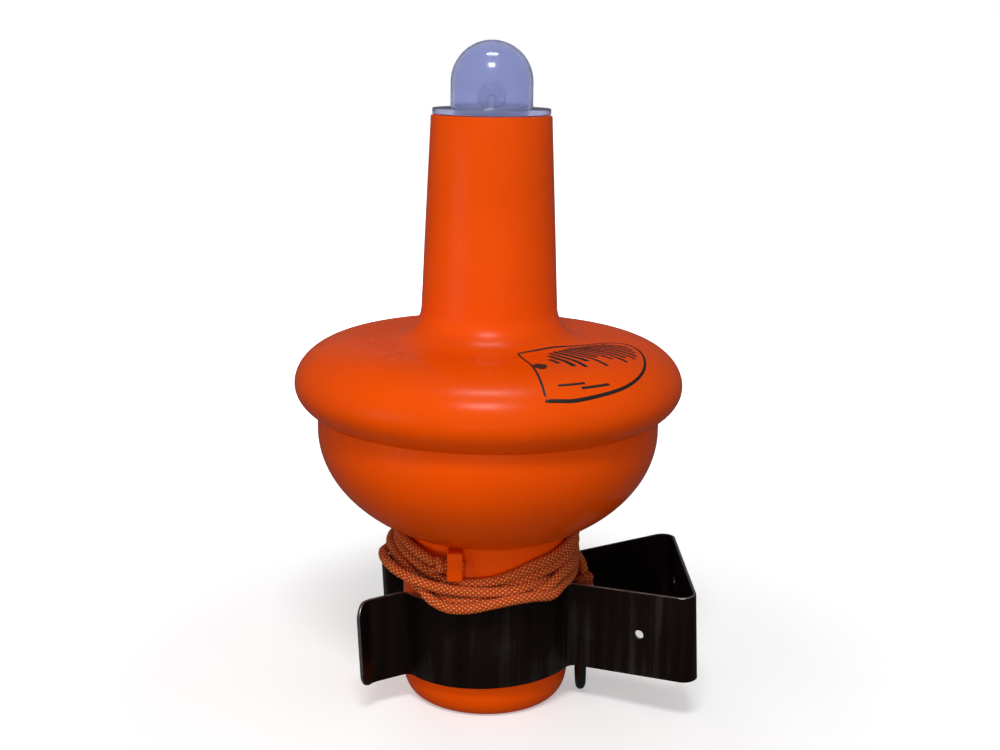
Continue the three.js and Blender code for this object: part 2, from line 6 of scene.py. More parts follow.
import bmesh
import bpy
from mathutils import Matrix, Vector, kdtree
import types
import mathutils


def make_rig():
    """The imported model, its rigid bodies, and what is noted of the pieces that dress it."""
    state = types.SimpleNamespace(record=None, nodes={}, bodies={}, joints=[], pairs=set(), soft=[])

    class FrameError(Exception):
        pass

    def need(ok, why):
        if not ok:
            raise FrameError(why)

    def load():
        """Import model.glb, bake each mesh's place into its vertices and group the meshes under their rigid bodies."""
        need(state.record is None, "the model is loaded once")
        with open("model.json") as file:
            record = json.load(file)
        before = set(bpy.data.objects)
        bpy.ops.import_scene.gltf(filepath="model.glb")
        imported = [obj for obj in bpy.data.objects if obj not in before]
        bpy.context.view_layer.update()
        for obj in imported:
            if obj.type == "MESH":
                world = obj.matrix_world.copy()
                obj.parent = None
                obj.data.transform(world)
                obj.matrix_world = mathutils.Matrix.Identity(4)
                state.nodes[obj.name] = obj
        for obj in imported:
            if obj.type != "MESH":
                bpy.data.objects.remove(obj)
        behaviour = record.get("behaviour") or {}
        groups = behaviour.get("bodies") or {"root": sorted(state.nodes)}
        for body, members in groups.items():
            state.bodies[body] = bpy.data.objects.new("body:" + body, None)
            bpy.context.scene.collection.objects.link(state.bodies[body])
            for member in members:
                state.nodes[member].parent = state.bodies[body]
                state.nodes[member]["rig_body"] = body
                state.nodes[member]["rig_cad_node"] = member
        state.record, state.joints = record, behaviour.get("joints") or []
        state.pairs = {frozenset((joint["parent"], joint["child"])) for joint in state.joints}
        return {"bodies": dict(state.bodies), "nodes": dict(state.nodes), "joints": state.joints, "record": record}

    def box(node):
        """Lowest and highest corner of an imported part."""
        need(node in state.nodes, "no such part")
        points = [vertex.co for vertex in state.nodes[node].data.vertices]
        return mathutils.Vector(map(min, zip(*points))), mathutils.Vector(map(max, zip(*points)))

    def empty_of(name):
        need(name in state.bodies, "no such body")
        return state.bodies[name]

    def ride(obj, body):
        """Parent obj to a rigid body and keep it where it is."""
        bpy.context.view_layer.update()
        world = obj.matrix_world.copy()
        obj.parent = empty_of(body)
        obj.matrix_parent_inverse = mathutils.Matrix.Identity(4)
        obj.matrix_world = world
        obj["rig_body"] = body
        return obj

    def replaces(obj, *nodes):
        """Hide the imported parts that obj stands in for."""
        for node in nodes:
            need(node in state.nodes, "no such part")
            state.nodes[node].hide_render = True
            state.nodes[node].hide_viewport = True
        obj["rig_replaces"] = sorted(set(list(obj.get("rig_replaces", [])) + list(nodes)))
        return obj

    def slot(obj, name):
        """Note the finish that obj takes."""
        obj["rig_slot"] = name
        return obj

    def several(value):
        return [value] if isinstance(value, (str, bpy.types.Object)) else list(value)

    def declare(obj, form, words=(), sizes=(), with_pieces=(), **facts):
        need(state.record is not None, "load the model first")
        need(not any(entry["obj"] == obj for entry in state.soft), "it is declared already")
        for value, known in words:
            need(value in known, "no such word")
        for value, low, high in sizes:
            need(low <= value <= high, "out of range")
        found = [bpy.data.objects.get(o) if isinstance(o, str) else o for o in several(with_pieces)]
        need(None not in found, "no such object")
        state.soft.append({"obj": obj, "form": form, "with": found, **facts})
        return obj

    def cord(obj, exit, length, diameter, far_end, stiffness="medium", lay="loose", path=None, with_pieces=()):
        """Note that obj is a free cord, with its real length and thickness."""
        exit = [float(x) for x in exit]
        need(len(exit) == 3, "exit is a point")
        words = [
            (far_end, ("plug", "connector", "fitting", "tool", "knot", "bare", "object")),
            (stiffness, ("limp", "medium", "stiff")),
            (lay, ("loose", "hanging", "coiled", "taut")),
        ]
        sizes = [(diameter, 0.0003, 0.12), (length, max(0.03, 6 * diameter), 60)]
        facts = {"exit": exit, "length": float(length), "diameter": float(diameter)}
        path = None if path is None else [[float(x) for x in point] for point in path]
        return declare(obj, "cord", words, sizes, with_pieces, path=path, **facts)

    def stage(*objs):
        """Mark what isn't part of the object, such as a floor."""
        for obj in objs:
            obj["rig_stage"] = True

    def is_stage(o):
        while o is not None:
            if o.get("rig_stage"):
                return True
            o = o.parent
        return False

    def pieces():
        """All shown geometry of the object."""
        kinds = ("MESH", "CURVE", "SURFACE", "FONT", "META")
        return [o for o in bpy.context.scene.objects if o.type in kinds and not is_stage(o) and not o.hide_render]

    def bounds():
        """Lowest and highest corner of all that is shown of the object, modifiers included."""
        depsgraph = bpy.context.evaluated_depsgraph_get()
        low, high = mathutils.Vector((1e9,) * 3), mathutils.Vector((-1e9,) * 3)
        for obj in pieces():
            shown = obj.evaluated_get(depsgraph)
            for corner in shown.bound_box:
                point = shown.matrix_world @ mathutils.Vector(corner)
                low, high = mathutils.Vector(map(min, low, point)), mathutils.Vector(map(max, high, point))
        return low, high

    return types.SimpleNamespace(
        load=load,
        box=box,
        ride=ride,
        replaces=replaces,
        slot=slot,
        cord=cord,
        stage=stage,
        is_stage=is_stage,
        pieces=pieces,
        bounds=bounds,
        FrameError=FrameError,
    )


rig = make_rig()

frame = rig.load()
cad_low, cad_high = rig.bounds()
MM = 0.001


def new_object(name, data):
    obj = bpy.data.objects.new(name, data)
    bpy.context.scene.collection.objects.link(obj)
    return obj


# ------------ camera, floor and light

def make_camera():
    data = bpy.data.cameras.new("camera")
    data.sensor_width = 36
    data.lens = 50.9
    data.shift_x = 0.0115
    camera = new_object("camera", data)
    camera.location = (0, -0.6284, 0.2928)
    aim = Matrix.Rotation(radians(77.31), 4, "X") @ Matrix.Rotation(radians(0.7), 4, "Z")
    camera.rotation_euler = aim.to_euler()
    bpy.context.scene.camera = camera


def area_light(name, location, target, size, power, mirrored=True, matte_light=True):
    data = bpy.data.lights.new(name, "AREA")
    data.shape = "RECTANGLE"
    data.size, data.size_y = size
    data.energy = power
    light = new_object(name, data)
    light.location = location
    light.rotation_euler = (Vector(target) - Vector(location)).to_track_quat("-Z", "Y").to_euler()
    light.visible_camera = False
    light.visible_glossy = mirrored
    light.visible_transmission = mirrored
    light.visible_diffuse = matte_light


RANGE = ("From Min", "From Max", "To Min", "To Max")
MIRRORED_GREY = 0.08


def make_world():
    """White behind the object. Its light is strongest from above and in front. Mirrored, it is dark grey."""
    world = bpy.data.worlds.new("studio")
    world.use_nodes = True
    nodes = Nodes(world.node_tree)
    background = world.node_tree.nodes["Background"]
    nodes.feed(background.inputs["Color"], (1, 1, 1))
    split = nodes.node("SeparateXYZ", (0, nodes.node("TexCoord").outputs["Generated"]))
    height, front = (nodes.node("MapRange", ("Value", split.outputs[axis]), *zip(RANGE, limits)).outputs[0]
                     for axis, limits in (("Z", (-0.6, 0.2, 0.05, 0.34)), ("Y", (0.6, -1.0, 0.7, 1.55))))
    fill = nodes.math("MULTIPLY", height, front)
    rays = nodes.node("LightPath").outputs
    mirrored = nodes.node("Mix", (0, rays["Is Glossy Ray"]), (2, fill), (3, MIRRORED_GREY)).outputs[0]
    seen = nodes.math("MAXIMUM", rays["Is Camera Ray"], rays["Is Transmission Ray"])
    shown = nodes.node("Mix", (0, seen), (2, mirrored), (3, 1.0)).outputs[0]
    nodes.feed(background.inputs["Strength"], shown)
    bpy.context.scene.world = world


def make_studio():
    bpy.context.scene.view_settings.view_transform = "Standard"
    make_world()
    area_light("key", (-0.04, -0.9, 1.3), (0, 0, 0.2), (0.42, 0.24), 9.0)
    area_light("shine", (0.0, -0.1, 1.3), (0, -0.04, 0.2), (0.4, 0.12), 3.5, matte_light=False)
    area_light("left_fill", (-1.1, -0.7, 0.15), (0, 0, 0.12), (0.6, 0.6), 2.4, mirrored=False)
    area_light("floor_fill", (0.0, -0.7, 0.05), (0, 0, 0.02), (0.5, 0.06), 1.05, mirrored=False)
    area_light("behind", (-0.35, 1.3, 0.4), (0.09, 0, 0.04), (0.5, 0.5), 4.5, mirrored=False)


def make_floor():
    surface = Surface("floor_paper", (0.9, 0.9, 0.9), 0.9, Specular_IOR_Level=0.1)
    surface.color(surface.ramp(surface.noise(9, 3), [(0.3, 0.89), (0.7, 0.91)]))
    surface.set("Emission Color", (1, 1, 1))
    distance = surface.node("VectorMath", (0, surface.coordinates()), operation="LENGTH").outputs["Value"]
    glow = surface.node("MapRange", ("Value", distance), *zip(RANGE, (0.16, 0.75, 0.35, 1.0)))
    surface.set("Emission Strength", glow.outputs["Result"])
    build = bmesh.new()
    bmesh.ops.create_circle(build, cap_ends=True, segments=96, radius=6)
    floor = new_object("studio_floor", mesh_of(build, "studio_floor", [surface.material]))
    floor.visible_diffuse = False
    floor.visible_glossy = False
    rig.stage(floor)


# ------------ materials

class Nodes:
    """Short calls that add shader nodes to a tree and feed their sockets."""

    def __init__(self, tree):
        self.tree = tree

    def feed(self, socket, value):
        """Links another node's output to a socket, or sets the socket to a colour, a vector or a number."""
        if isinstance(value, bpy.types.NodeSocket):
            self.tree.links.new(value, socket)
        elif isinstance(value, tuple) and len(value) < len(socket.default_value):
            socket.default_value = (*value, 1)
        else:
            socket.default_value = value

    def node(self, kind, *inputs, **settings):
        """A new node. Each input is a socket's name or number, and what feeds it."""
        node = self.tree.nodes.new("ShaderNode" + kind)
        for key, value in settings.items():
            setattr(node, key, value)
        for key, value in inputs:
            self.feed(node.inputs[key], value)
        return node

    def math(self, operation, first, second=0.0):
        return self.node("Math", (0, first), (1, second), operation=operation).outputs[0]


class Surface(Nodes):
    """A procedural material on one Principled shader."""

    def __init__(self, name, color=(0.5, 0.5, 0.5), roughness=0.5, metallic=0.0, **sockets):
        self.material = bpy.data.materials.new(name)
        self.material.use_nodes = True
        super().__init__(self.material.node_tree)
        self.bsdf = self.tree.nodes["Principled BSDF"]
        self.place = self.node("TexCoord").outputs["Object"]
        self.color(color)
        self.roughness(roughness)
        self.set("Metallic", metallic)
        for socket, value in sockets.items():
            self.set(socket.replace("_", " "), value)

    def set(self, socket, value):
        self.feed(self.bsdf.inputs[socket], value)

    def color(self, source):
        self.set("Base Color", source)

    def roughness(self, source):
        self.set("Roughness", source)

    def coordinates(self, scale=(1, 1, 1)):
        return self.node("Mapping", ("Scale", scale), ("Vector", self.place)).outputs["Vector"]

    def noise(self, scale, detail=3.0, stretch=(1, 1, 1), roughness=0.55):
        return self.node("TexNoise", ("Scale", scale), ("Detail", detail), ("Roughness", roughness),
                         ("Vector", self.coordinates(stretch))).outputs["Fac"]

    def ramp(self, source, stops):
        node = self.node("ValToRGB", ("Fac", source))
        ramp = node.color_ramp
        while len(ramp.elements) < len(stops):
            ramp.elements.new(0.5)
        for element, (at, value) in zip(ramp.elements, stops):
            element.position = at
            element.color = (*value, 1) if isinstance(value, tuple) else (value, value, value, 1)
        return node.outputs["Color"]

    def mix(self, factor, first, second):
        return self.node("Mix", (0, factor), (6, first), (7, second), data_type="RGBA").outputs[2]

    def bump(self, height, distance, strength):
        node = self.node("Bump", ("Distance", distance), ("Strength", strength), ("Height", height))
        self.set("Normal", node.outputs["Normal"])


def shade(color, factor):
    return tuple(min(1, c * factor) for c in color)


def moulded_plastic(name, color, roughness):
    surface = Surface(name, color, roughness, Specular_IOR_Level=0.14)
    cloud = surface.noise(16, 4)
    surface.color(surface.ramp(cloud, [(0.3, shade(color, 1 - 0.06)), (0.7, shade(color, 1 + 0.06))]))
    smears = surface.noise(40, 5, stretch=(1, 1, 0.25))
    surface.roughness(surface.ramp(smears, [(0.3, roughness - 0.05), (0.75, roughness + 0.09)]))
    surface.bump(surface.noise(320, 2), 0.00002, 0.2)
    return surface.material


def clear_plastic(name, tint, roughness, clearness=0.94):
    surface = Surface(name, tint, roughness, IOR=1.49, Transmission_Weight=clearness)
    haze = surface.noise(60, 4)
    surface.roughness(surface.ramp(haze, [(0.35, roughness), (0.7, roughness + 0.09)]))
    surface.bump(surface.noise(220, 2), 0.00004, 0.3)
    return surface.material


def dark_steel():
    surface = Surface("blackened_spring_steel", metallic=0.8, Specular_IOR_Level=0.2)
    # Painted reflections: the lighter vertical streaks in the colour stand in for reflections; the same streaks also
    # vary the roughness and the bump.
    streaks_and_painted_reflections = surface.noise(34, 5, stretch=(6, 6, 0.22), roughness=0.62)
    blotches = surface.noise(22, 3)
    painted_reflection_tone = surface.math("MULTIPLY", streaks_and_painted_reflections, blotches)
    surface.color(surface.ramp(painted_reflection_tone, [(0.14, (0.020, 0.012, 0.009)), (0.27, (0.030, 0.019, 0.015)),
                                      (0.46, (0.10, 0.082, 0.066))]))
    surface.roughness(surface.ramp(streaks_and_painted_reflections, [(0.3, 0.26), (0.7, 0.44)]))
    surface.bump(streaks_and_painted_reflections, 0.00005, 0.5)
    return surface.material


def metal(name, color, roughness, brushed=(1, 1, 1), wear=0.12):
    surface = Surface(name, color, roughness, 1.0)
    grain = surface.noise(120, 5, stretch=brushed)
    surface.color(surface.ramp(grain, [(0.3, shade(color, 1 - wear)), (0.7, color)]))
    surface.roughness(surface.ramp(grain, [(0.25, roughness - 0.08), (0.75, roughness + 0.12)]))
    surface.bump(grain, 0.00004, 0.4)
    return surface.material


def matte(name, color, roughness=0.6, grain_scale=300, depth=0.00008):
    surface = Surface(name, color, roughness)
    grain = surface.noise(grain_scale, 4)
    surface.color(surface.ramp(grain, [(0.3, shade(color, 0.82)), (0.7, color)]))
    surface.bump(grain, depth, 0.6)
    return surface.material


BRAID_STRANDS = 14
BRAID_SLOPE = 0.8
CAP_UV = (0.45 / BRAID_STRANDS, 0)


def braided_cord():
    """Orange braid with pale tracer yarns. U runs round the cord, V along it in circumferences."""
    surface = Surface("braided_cord", roughness=0.78, Specular_IOR_Level=0.25)
    split = surface.node("SeparateXYZ", ("Vector", surface.node("TexCoord").outputs["UV"]))
    around, along = split.outputs["X"], split.outputs["Y"]
    rise = surface.math("MULTIPLY", along, BRAID_SLOPE)
    yarns = [surface.math("MULTIPLY", surface.math(operation, around, rise), BRAID_STRANDS)
             for operation in ("ADD", "SUBTRACT")]
    waves = [surface.math("COSINE", surface.math("MULTIPLY", yarn, pi)) for yarn in yarns]
    every_other = surface.math("FRACT", surface.math("MULTIPLY", surface.math("ADD", yarns[0], 0.5), 0.5))
    tracer = surface.math("LESS_THAN", every_other, 0.5)
    weave = surface.math("MULTIPLY", *waves)
    first_on_top = surface.math("GREATER_THAN", weave, 0.0)
    height = surface.math("ABSOLUTE", weave)
    pale_first = surface.math("MULTIPLY", tracer, first_on_top)
    crown = surface.math("GREATER_THAN", height, 0.2)
    fleck = surface.math("MULTIPLY", pale_first, crown)
    # Painted shade and light: the colour darkens into the gaps between the yarns and lightens on their crowns, as
    # light and shade fall on a braid.
    yarn_shade_painted = surface.ramp(height, [(0.0, (0.20, 0.007, 0.001)), (0.35, (0.74, 0.045, 0.002)),
                                 (1.0, (0.98, 0.135, 0.008))])
    rubbed = surface.math("MULTIPLY", surface.noise(90, 3), 0.25)
    wear_and_yarn_shade = surface.mix(rubbed, yarn_shade_painted, (0.95, 0.13, 0.015))
    surface.color(surface.mix(fleck, wear_and_yarn_shade, (1.0, 0.56, 0.20)))
    surface.bump(height, 0.0005, 0.9)
    return surface.material


# ------------ mesh helpers

def finish_mesh(name, vertices, faces, materials, sharp=35, slots=None, uvs=None):
    mesh = bpy.data.meshes.new(name)
    mesh.from_pydata(vertices, [], faces)
    for material in materials:
        mesh.materials.append(material)
    if slots:
        mesh.polygons.foreach_set("material_index", slots)
    if uvs:
        layer = mesh.uv_layers.new(name="UVMap")
        layer.data.foreach_set("uv", [value for uv in uvs for value in uv])
    build = bmesh.new()
    build.from_mesh(mesh)
    bmesh.ops.recalc_face_normals(build, faces=build.faces)
    build.to_mesh(mesh)
    build.free()
    smooth(mesh, sharp)
    return new_object(name, mesh)


def smooth(mesh, sharp):
    """Shades a mesh smooth but for edges sharper than an angle in degrees."""
    mesh.shade_smooth()
    mesh.set_sharp_from_angle(angle=radians(sharp))


def mesh_of(build, name, materials):
    """Ends a bmesh as a named mesh with its materials."""
    mesh = bpy.data.meshes.new(name)
    build.to_mesh(mesh)
    build.free()
    for material in materials:
        mesh.materials.append(material)
    return mesh


def arc(cx, cy, rx, ry, start, end, steps):
    """Points on an ellipse, angles in degrees."""
    points = []
    for i in range(steps + 1):
        angle = radians(start + (end - start) * i / steps)
        points.append((cx + rx * cos(angle), cy + ry * sin(angle)))
    return points


CORNER_STEPS = 4


def rounded(profile):
    """Rounds the corners of a closed outline: a point is (x, y) or (x, y, corner radius)."""
    out = []
    count = len(profile)
    for i, entry in enumerate(profile):
        here = Vector(entry[:2])
        if len(entry) < 3:
            out.append(tuple(here))
            continue
        before = Vector(profile[i - 1][:2]) - here
        after = Vector(profile[(i + 1) % count][:2]) - here
        angle = before.angle(after)
        reach = entry[2] / tan(angle / 2)
        reach = min(reach, before.length * 0.49, after.length * 0.49)
        start = here + before.normalized() * reach
        end = here + after.normalized() * reach
        for k in range(CORNER_STEPS + 1):
            t = k / CORNER_STEPS
            out.append(tuple((1 - t) ** 2 * start + 2 * t * (1 - t) * here + t ** 2 * end))
    return out


def turned(name, profile, materials, segments, slots_at=None):
    """A closed outline of (radius, height) in millimetres, turned about the Z axis."""
    vertices, rings = [], []
    for radius, height in profile:
        if radius < 1e-6:
            rings.append([len(vertices)])
            vertices.append((0, 0, height * MM))
            continue
        rings.append(list(range(len(vertices), len(vertices) + segments)))
        for s in range(segments):
            angle = 2 * pi * s / segments
            vertices.append((radius * cos(angle) * MM, radius * sin(angle) * MM, height * MM))
    faces, slots = [], []
    count = len(rings)
    for i in range(count):
        low, high = rings[i], rings[(i + 1) % count]
        if len(low) == 1 and len(high) == 1:
            continue
        slot = slots_at(profile[i]) if slots_at else 0
        for s in range(segments):
            t = (s + 1) % segments
            face = [low[s % len(low)], low[t % len(low)], high[t % len(high)], high[s % len(high)]]
            face = list(dict.fromkeys(face))
            faces.append(face)
            slots.append(slot)
    return finish_mesh(name, vertices, faces, materials, slots=slots)


def lathe(name, profile, finish, segments=96):
    """A turned piece of one finish, whose outline has its corners rounded."""
    return turned(name, rounded(profile), [finish], segments)


def parallel_frames(points):
    """A tangent and a steady side vector at each point of a line."""
    tangents = []
    last = len(points) - 1
    for i in range(last + 1):
        tangents.append((points[min(i + 1, last)] - points[max(i - 1, 0)]).normalized())
    side = tangents[0].orthogonal().normalized()
    sides = []
    for tangent in tangents:
        side = (side - tangent * side.dot(tangent)).normalized()
        sides.append(side.copy())
    return tangents, sides


def tube(name, points, radius, materials, sides=12, relief=None, uv=False):
    """A tube through points in metres. relief(around, along) scales the radius, which may be a function."""
    tangents, across = parallel_frames(points)
    vertices, faces, uvs = [], [], []
    along = lengths_along(points)
    for i, point in enumerate(points):
        up = tangents[i].cross(across[i])
        size = radius(i / (len(points) - 1)) if callable(radius) else radius
        for s in range(sides):
            turn = 2 * pi * s / sides
            grow = relief(s / sides, along[i]) if relief else 1.0
            vertices.append(point + (across[i] * cos(turn) + up * sin(turn)) * size * grow)
    girth = 2 * pi * (radius if not callable(radius) else radius(0.5))
    for i in range(len(points) - 1):
        for s in range(sides):
            t = (s + 1) % sides
            faces.append((i * sides + s, i * sides + t, (i + 1) * sides + t, (i + 1) * sides + s))
            if uv:
                u0, u1 = s / sides, (s + 1) / sides
                v0, v1 = along[i] / girth, along[i + 1] / girth
                uvs += [(u0, v0), (u1, v0), (u1, v1), (u0, v1)]
    first = len(vertices)
    vertices += [points[0], points[-1]]
    base = (len(points) - 1) * sides
    for s in range(sides):
        t = (s + 1) % sides
        faces.append((first, t, s))
        faces.append((first + 1, base + s, base + t))
        if uv:
            uvs += [CAP_UV] * 6
    return finish_mesh(name, vertices, faces, materials, sharp=60, uvs=uvs if uv else None)


SPLINE_STEPS = 24


def catmull(points, spacing):
    """An even line through points by a centripetal spline, spacing in the points' own unit."""
    points = [Vector(p) for p in points]
    ends = [points[0] * 2 - points[1], *points, points[-1] * 2 - points[-2]]
    fine = []
    for p0, p1, p2, p3 in zip(ends, ends[1:], ends[2:], ends[3:]):
        t0, t1 = 0.0, (p1 - p0).length ** 0.5
        t2 = t1 + (p2 - p1).length ** 0.5
        t3 = t2 + (p3 - p2).length ** 0.5
        for k in range(SPLINE_STEPS):
            t = t1 + (t2 - t1) * k / SPLINE_STEPS
            a1 = p0 * ((t1 - t) / (t1 - t0)) + p1 * ((t - t0) / (t1 - t0))
            a2 = p1 * ((t2 - t) / (t2 - t1)) + p2 * ((t - t1) / (t2 - t1))
            a3 = p2 * ((t3 - t) / (t3 - t2)) + p3 * ((t - t2) / (t3 - t2))
            b1 = a1 * ((t2 - t) / (t2 - t0)) + a2 * ((t - t0) / (t2 - t0))
            b2 = a2 * ((t3 - t) / (t3 - t1)) + a3 * ((t - t1) / (t3 - t1))
            fine.append(b1 * ((t2 - t) / (t2 - t1)) + b2 * ((t - t1) / (t2 - t1)))
    fine.append(points[-1])
    return even(fine, spacing)


def lengths_along(line):
    """How far each point of a line is from its start."""
    lengths = [0.0]
    for a, b in zip(line, line[1:]):
        lengths.append(lengths[-1] + (b - a).length)
    return lengths


def even(line, spacing):
    """The same line with points an even distance apart."""
    total = lengths_along(line)[-1]
    count = max(2, round(total / spacing))
    step = total / count
    out, walked, want = [line[0].copy()], 0.0, step
    for a, b in zip(line, line[1:]):
        length = (b - a).length
        while length > 0 and want <= walked + length + 1e-12 and len(out) < count:
            out.append(a.lerp(b, (want - walked) / length))
            want += step
        walked += length
    out.append(line[-1].copy())
    return out


def boolean(target, tools, operation, sharp=35):
    """Joins or cuts target with the tools, applies it, and removes the tools."""
    for tool in tools:
        modifier = target.modifiers.new("boolean", "BOOLEAN")
        modifier.operation = operation
        modifier.solver = "EXACT"
        modifier.object = tool
    graph = bpy.context.evaluated_depsgraph_get()
    made = bpy.data.meshes.new_from_object(target.evaluated_get(graph))
    target.modifiers.clear()
    used = [target.data, *(tool.data for tool in tools)]
    target.data = made
    for tool in tools:
        bpy.data.objects.remove(tool)
    for mesh in used:
        bpy.data.meshes.remove(mesh)
    made.name = target.name
    smooth(made, sharp)


def block(name, size, centre, bevel, materials):
    """A box with rounded edges, sizes and centre in millimetres."""
    build = bmesh.new()
    bmesh.ops.create_cube(build, size=1)
    bmesh.ops.scale(build, vec=Vector(size) * MM, verts=build.verts)
    bmesh.ops.bevel(build, geom=build.edges[:], offset=bevel * MM, segments=4, profile=0.5, affect="EDGES")
    bmesh.ops.translate(build, vec=Vector(centre) * MM, verts=build.verts)
    mesh = mesh_of(build, name, materials)
    smooth(mesh, 35)
    return new_object(name, mesh)


def pin(name, radius, start, end, materials=(), sides=32):
    """A plain round cutter between two points in millimetres."""
    start, end = Vector(start) * MM, Vector(end) * MM
    build = bmesh.new()
    bmesh.ops.create_cone(build, cap_ends=True, segments=sides, radius1=radius * MM, radius2=radius * MM,
                          depth=(end - start).length)
    turn = (end - start).to_track_quat("Z", "Y").to_matrix().to_4x4()
    build.transform(Matrix.Translation((start + end) / 2) @ turn)
    return new_object(name, mesh_of(build, name, materials))


# ------------ lanyard

CORD_DIAMETER = 4.5
CORD_RADIUS = CORD_DIAMETER / 2
HOOK_ROD = 2.25
CASE_RADIUS = 38.8
LUG_X = -13.7
LUG_WIDTH = 7
LUG_FRONT = 43.7
LUG_UNDERSIDE = 67.8
LUG_EYE = (LUG_X, -40.1, 74.3)
BAND_TOP = 56.9
BAND_TILT = radians(3)
BAND_OUTSIDE = 42.5
BOWL_MOUTH = 81.6

# The stretch that hangs in front of the band, from the left to the right, in millimetres.
FRONT_LOOP = [
    (-28.4, -41.2, 62.8),
    (-25.9, -42.8, 57.4),
    (-19.6, -45.1, 54.7),
    (-12.7, -47.1, 55.1),
    (-2.7, -48.7, 57.9),
    (4.9, -49.2, 60.8),
    (9.7, -49.1, 62.7),
]


def in_plan(azimuth, radius):
    angle = radians(azimuth)
    return (radius * cos(angle), radius * sin(angle))


def polar(azimuth, radius, height):
    return Vector((*in_plan(azimuth, radius), height))


def wound_turn(left, front, following):
    """One turn from the left side round the back to the right, across the front and up to the left again.
    left, front and following are (radius, height) where it starts, crosses the front and ends."""
    def blend(a, b, share):
        return a[0] + (b[0] - a[0]) * share, a[1] + (b[1] - a[1]) * share

    down = [*((-30 * i, 0) for i in range(6)), (-182, 0.03), (-208, 0.2), (-230, 0.45), (-250, 0.75),
            (-268, 0.94), (-286, 1)]
    up = [(-300, 0.1), (-313, 0.4), (-327, 0.76), (-342, 0.95)]
    turn = [(azimuth, *blend(left, front, share)) for azimuth, share in down]
    return turn + [(azimuth, *blend(front, following, share)) for azimuth, share in up]


def cord_route():
    """The line from the lug's knot, round the case, to just above the hook's knot, in millimetres."""
    inner, outer = CASE_RADIUS + 2.4, CASE_RADIUS + 6.4
    lefts = [(inner, 79.0), (inner, 74.5), (inner, 70.0), (inner, 65.5), (outer, 67.7), (outer, 72.2)]
    fronts = [(inner, 65.4), (inner, 60.9), (outer + 0.4, 58.8), (outer + 0.2, 63.1), (49.6, 57)]
    route = [Vector((-21.5, -40.3, 74.6)), polar(-127, 45.2, 76.2), polar(-142, 43.2, 78.2)]
    route.append(polar(-160, inner + 0.3, 79.0))
    for number, (left, front) in enumerate(zip(lefts, fronts)):
        turn = wound_turn(left, front, lefts[number + 1])
        if number == 3:
            bulge = [(-296, 49.6, 64.6), (-308, 51.2, 66.4), (-321, 52.6, 68.6), (-333, 52.8, 70.8),
                     (-345, 50.2, 71.2), (-355, 47.4, 70.2)]
            turn = turn[:-4] + bulge
        if number == 4:
            across = [(-52, outer, 66.4), (-72, outer, 64.2), (-90, 43.6, 62.0), (-108, inner, 61.0),
                      (-146, inner, 61.0), (-184, inner, 61.0), (-210, 42.6, 60.6), (-232, 45.6, 61.2),
                      (-246, 48.2, 62.8)]
            turn = turn[:2] + across
        points = [polar(azimuth - 180 - 360 * number, *rest) for azimuth, *rest in turn]
        if number == 4:
            points += [Vector(p) for p in reversed(FRONT_LOOP)]
            points += [polar(-132 - 360 * 5, 46.6, 67.2), polar(-150 - 360 * 5, 45.6, 70.6)]
        route += points
    last = -180 - 360 * len(fronts)
    route += [polar(last + azimuth, *lefts[-1]) for azimuth in (0, -30, -60)]
    descent = [(-90, 71.4), (-112, 68.6), (-130, 65.2), (-146, 62.8), (-158, 61.8), (-168, 60.8)]
    route += [polar(last + azimuth, outer, height) for azimuth, height in descent]
    return route + [polar(last - 176, 45.6, 58.8)]


SETTLE_ROUNDS = 170


def settle(line, spacing):
    """Pushes a wound line's turns apart until they lie beside and on each other, off the case and band."""
    apart = CORD_DIAMETER * 0.985
    neighbours = ceil(1.6 * CORD_DIAMETER / spacing)
    home = [p.copy() for p in line]
    count = len(line)
    for _ in range(SETTLE_ROUNDS):
        tree = kdtree.KDTree(count)
        for i, p in enumerate(line):
            tree.insert(p, i)
        tree.balance()
        moves = [Vector() for _ in line]
        for i, p in enumerate(line):
            for other, j, distance in tree.find_range(p, apart):
                if j > i + neighbours and distance > 1e-6:
                    push = (p - other) * ((apart - distance) / distance * 0.46)
                    moves[i] += push
                    moves[j] -= push
        for i in range(2, count - 2):
            straighter = (line[i - 1] + line[i + 1]) * 0.5 - line[i]
            moves[i] += straighter * 0.25 + (home[i] - line[i]) * 0.012
        for i in range(2, count - 2):
            p = line[i] + moves[i]
            flat = hypot(p.x, p.y)
            nearest = CASE_RADIUS + CORD_RADIUS + 0.1
            band = BAND_TOP + p.x * tan(BAND_TILT) + CORD_RADIUS
            if p.z < band - 1.4:
                nearest = BAND_OUTSIDE + CORD_RADIUS + 0.3
            elif p.z < band and flat < BAND_OUTSIDE + CORD_RADIUS:
                p.z = band
            if flat < nearest:
                p.x, p.y = p.x * nearest / flat, p.y * nearest / flat
            beside_lug = abs(p.x - LUG_X) < LUG_WIDTH / 2 + CORD_RADIUS
            if beside_lug and -LUG_FRONT - CORD_RADIUS < p.y < 0:
                p.z = min(p.z, LUG_UNDERSIDE - CORD_RADIUS - 0.1)
            p.z = min(p.z, BOWL_MOUTH - CORD_RADIUS - 0.2)
            line[i] = p
    return line


def braid_relief(around, along):
    rise = BRAID_SLOPE * along / (pi * CORD_DIAMETER * MM)
    phase = BRAID_STRANDS * pi
    crossing = cos(phase * (around + rise)) * cos(phase * (around - rise))
    return 0.985 + 0.035 * abs(crossing)


def braided_tube(name, points, diameter=CORD_DIAMETER):
    """A piece of the lanyard's cord through points in metres."""
    return tube(name, points, diameter / 2 * MM, [CORD], sides=28, relief=braid_relief, uv=True)


def hook_top():
    """The middle of the hook's top bar, in millimetres."""
    low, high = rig.box("hook_body")
    return Vector(((low.x + high.x) / 2, (low.y + high.y) / 2, high.z)) / MM - Vector((0, 0, HOOK_ROD))


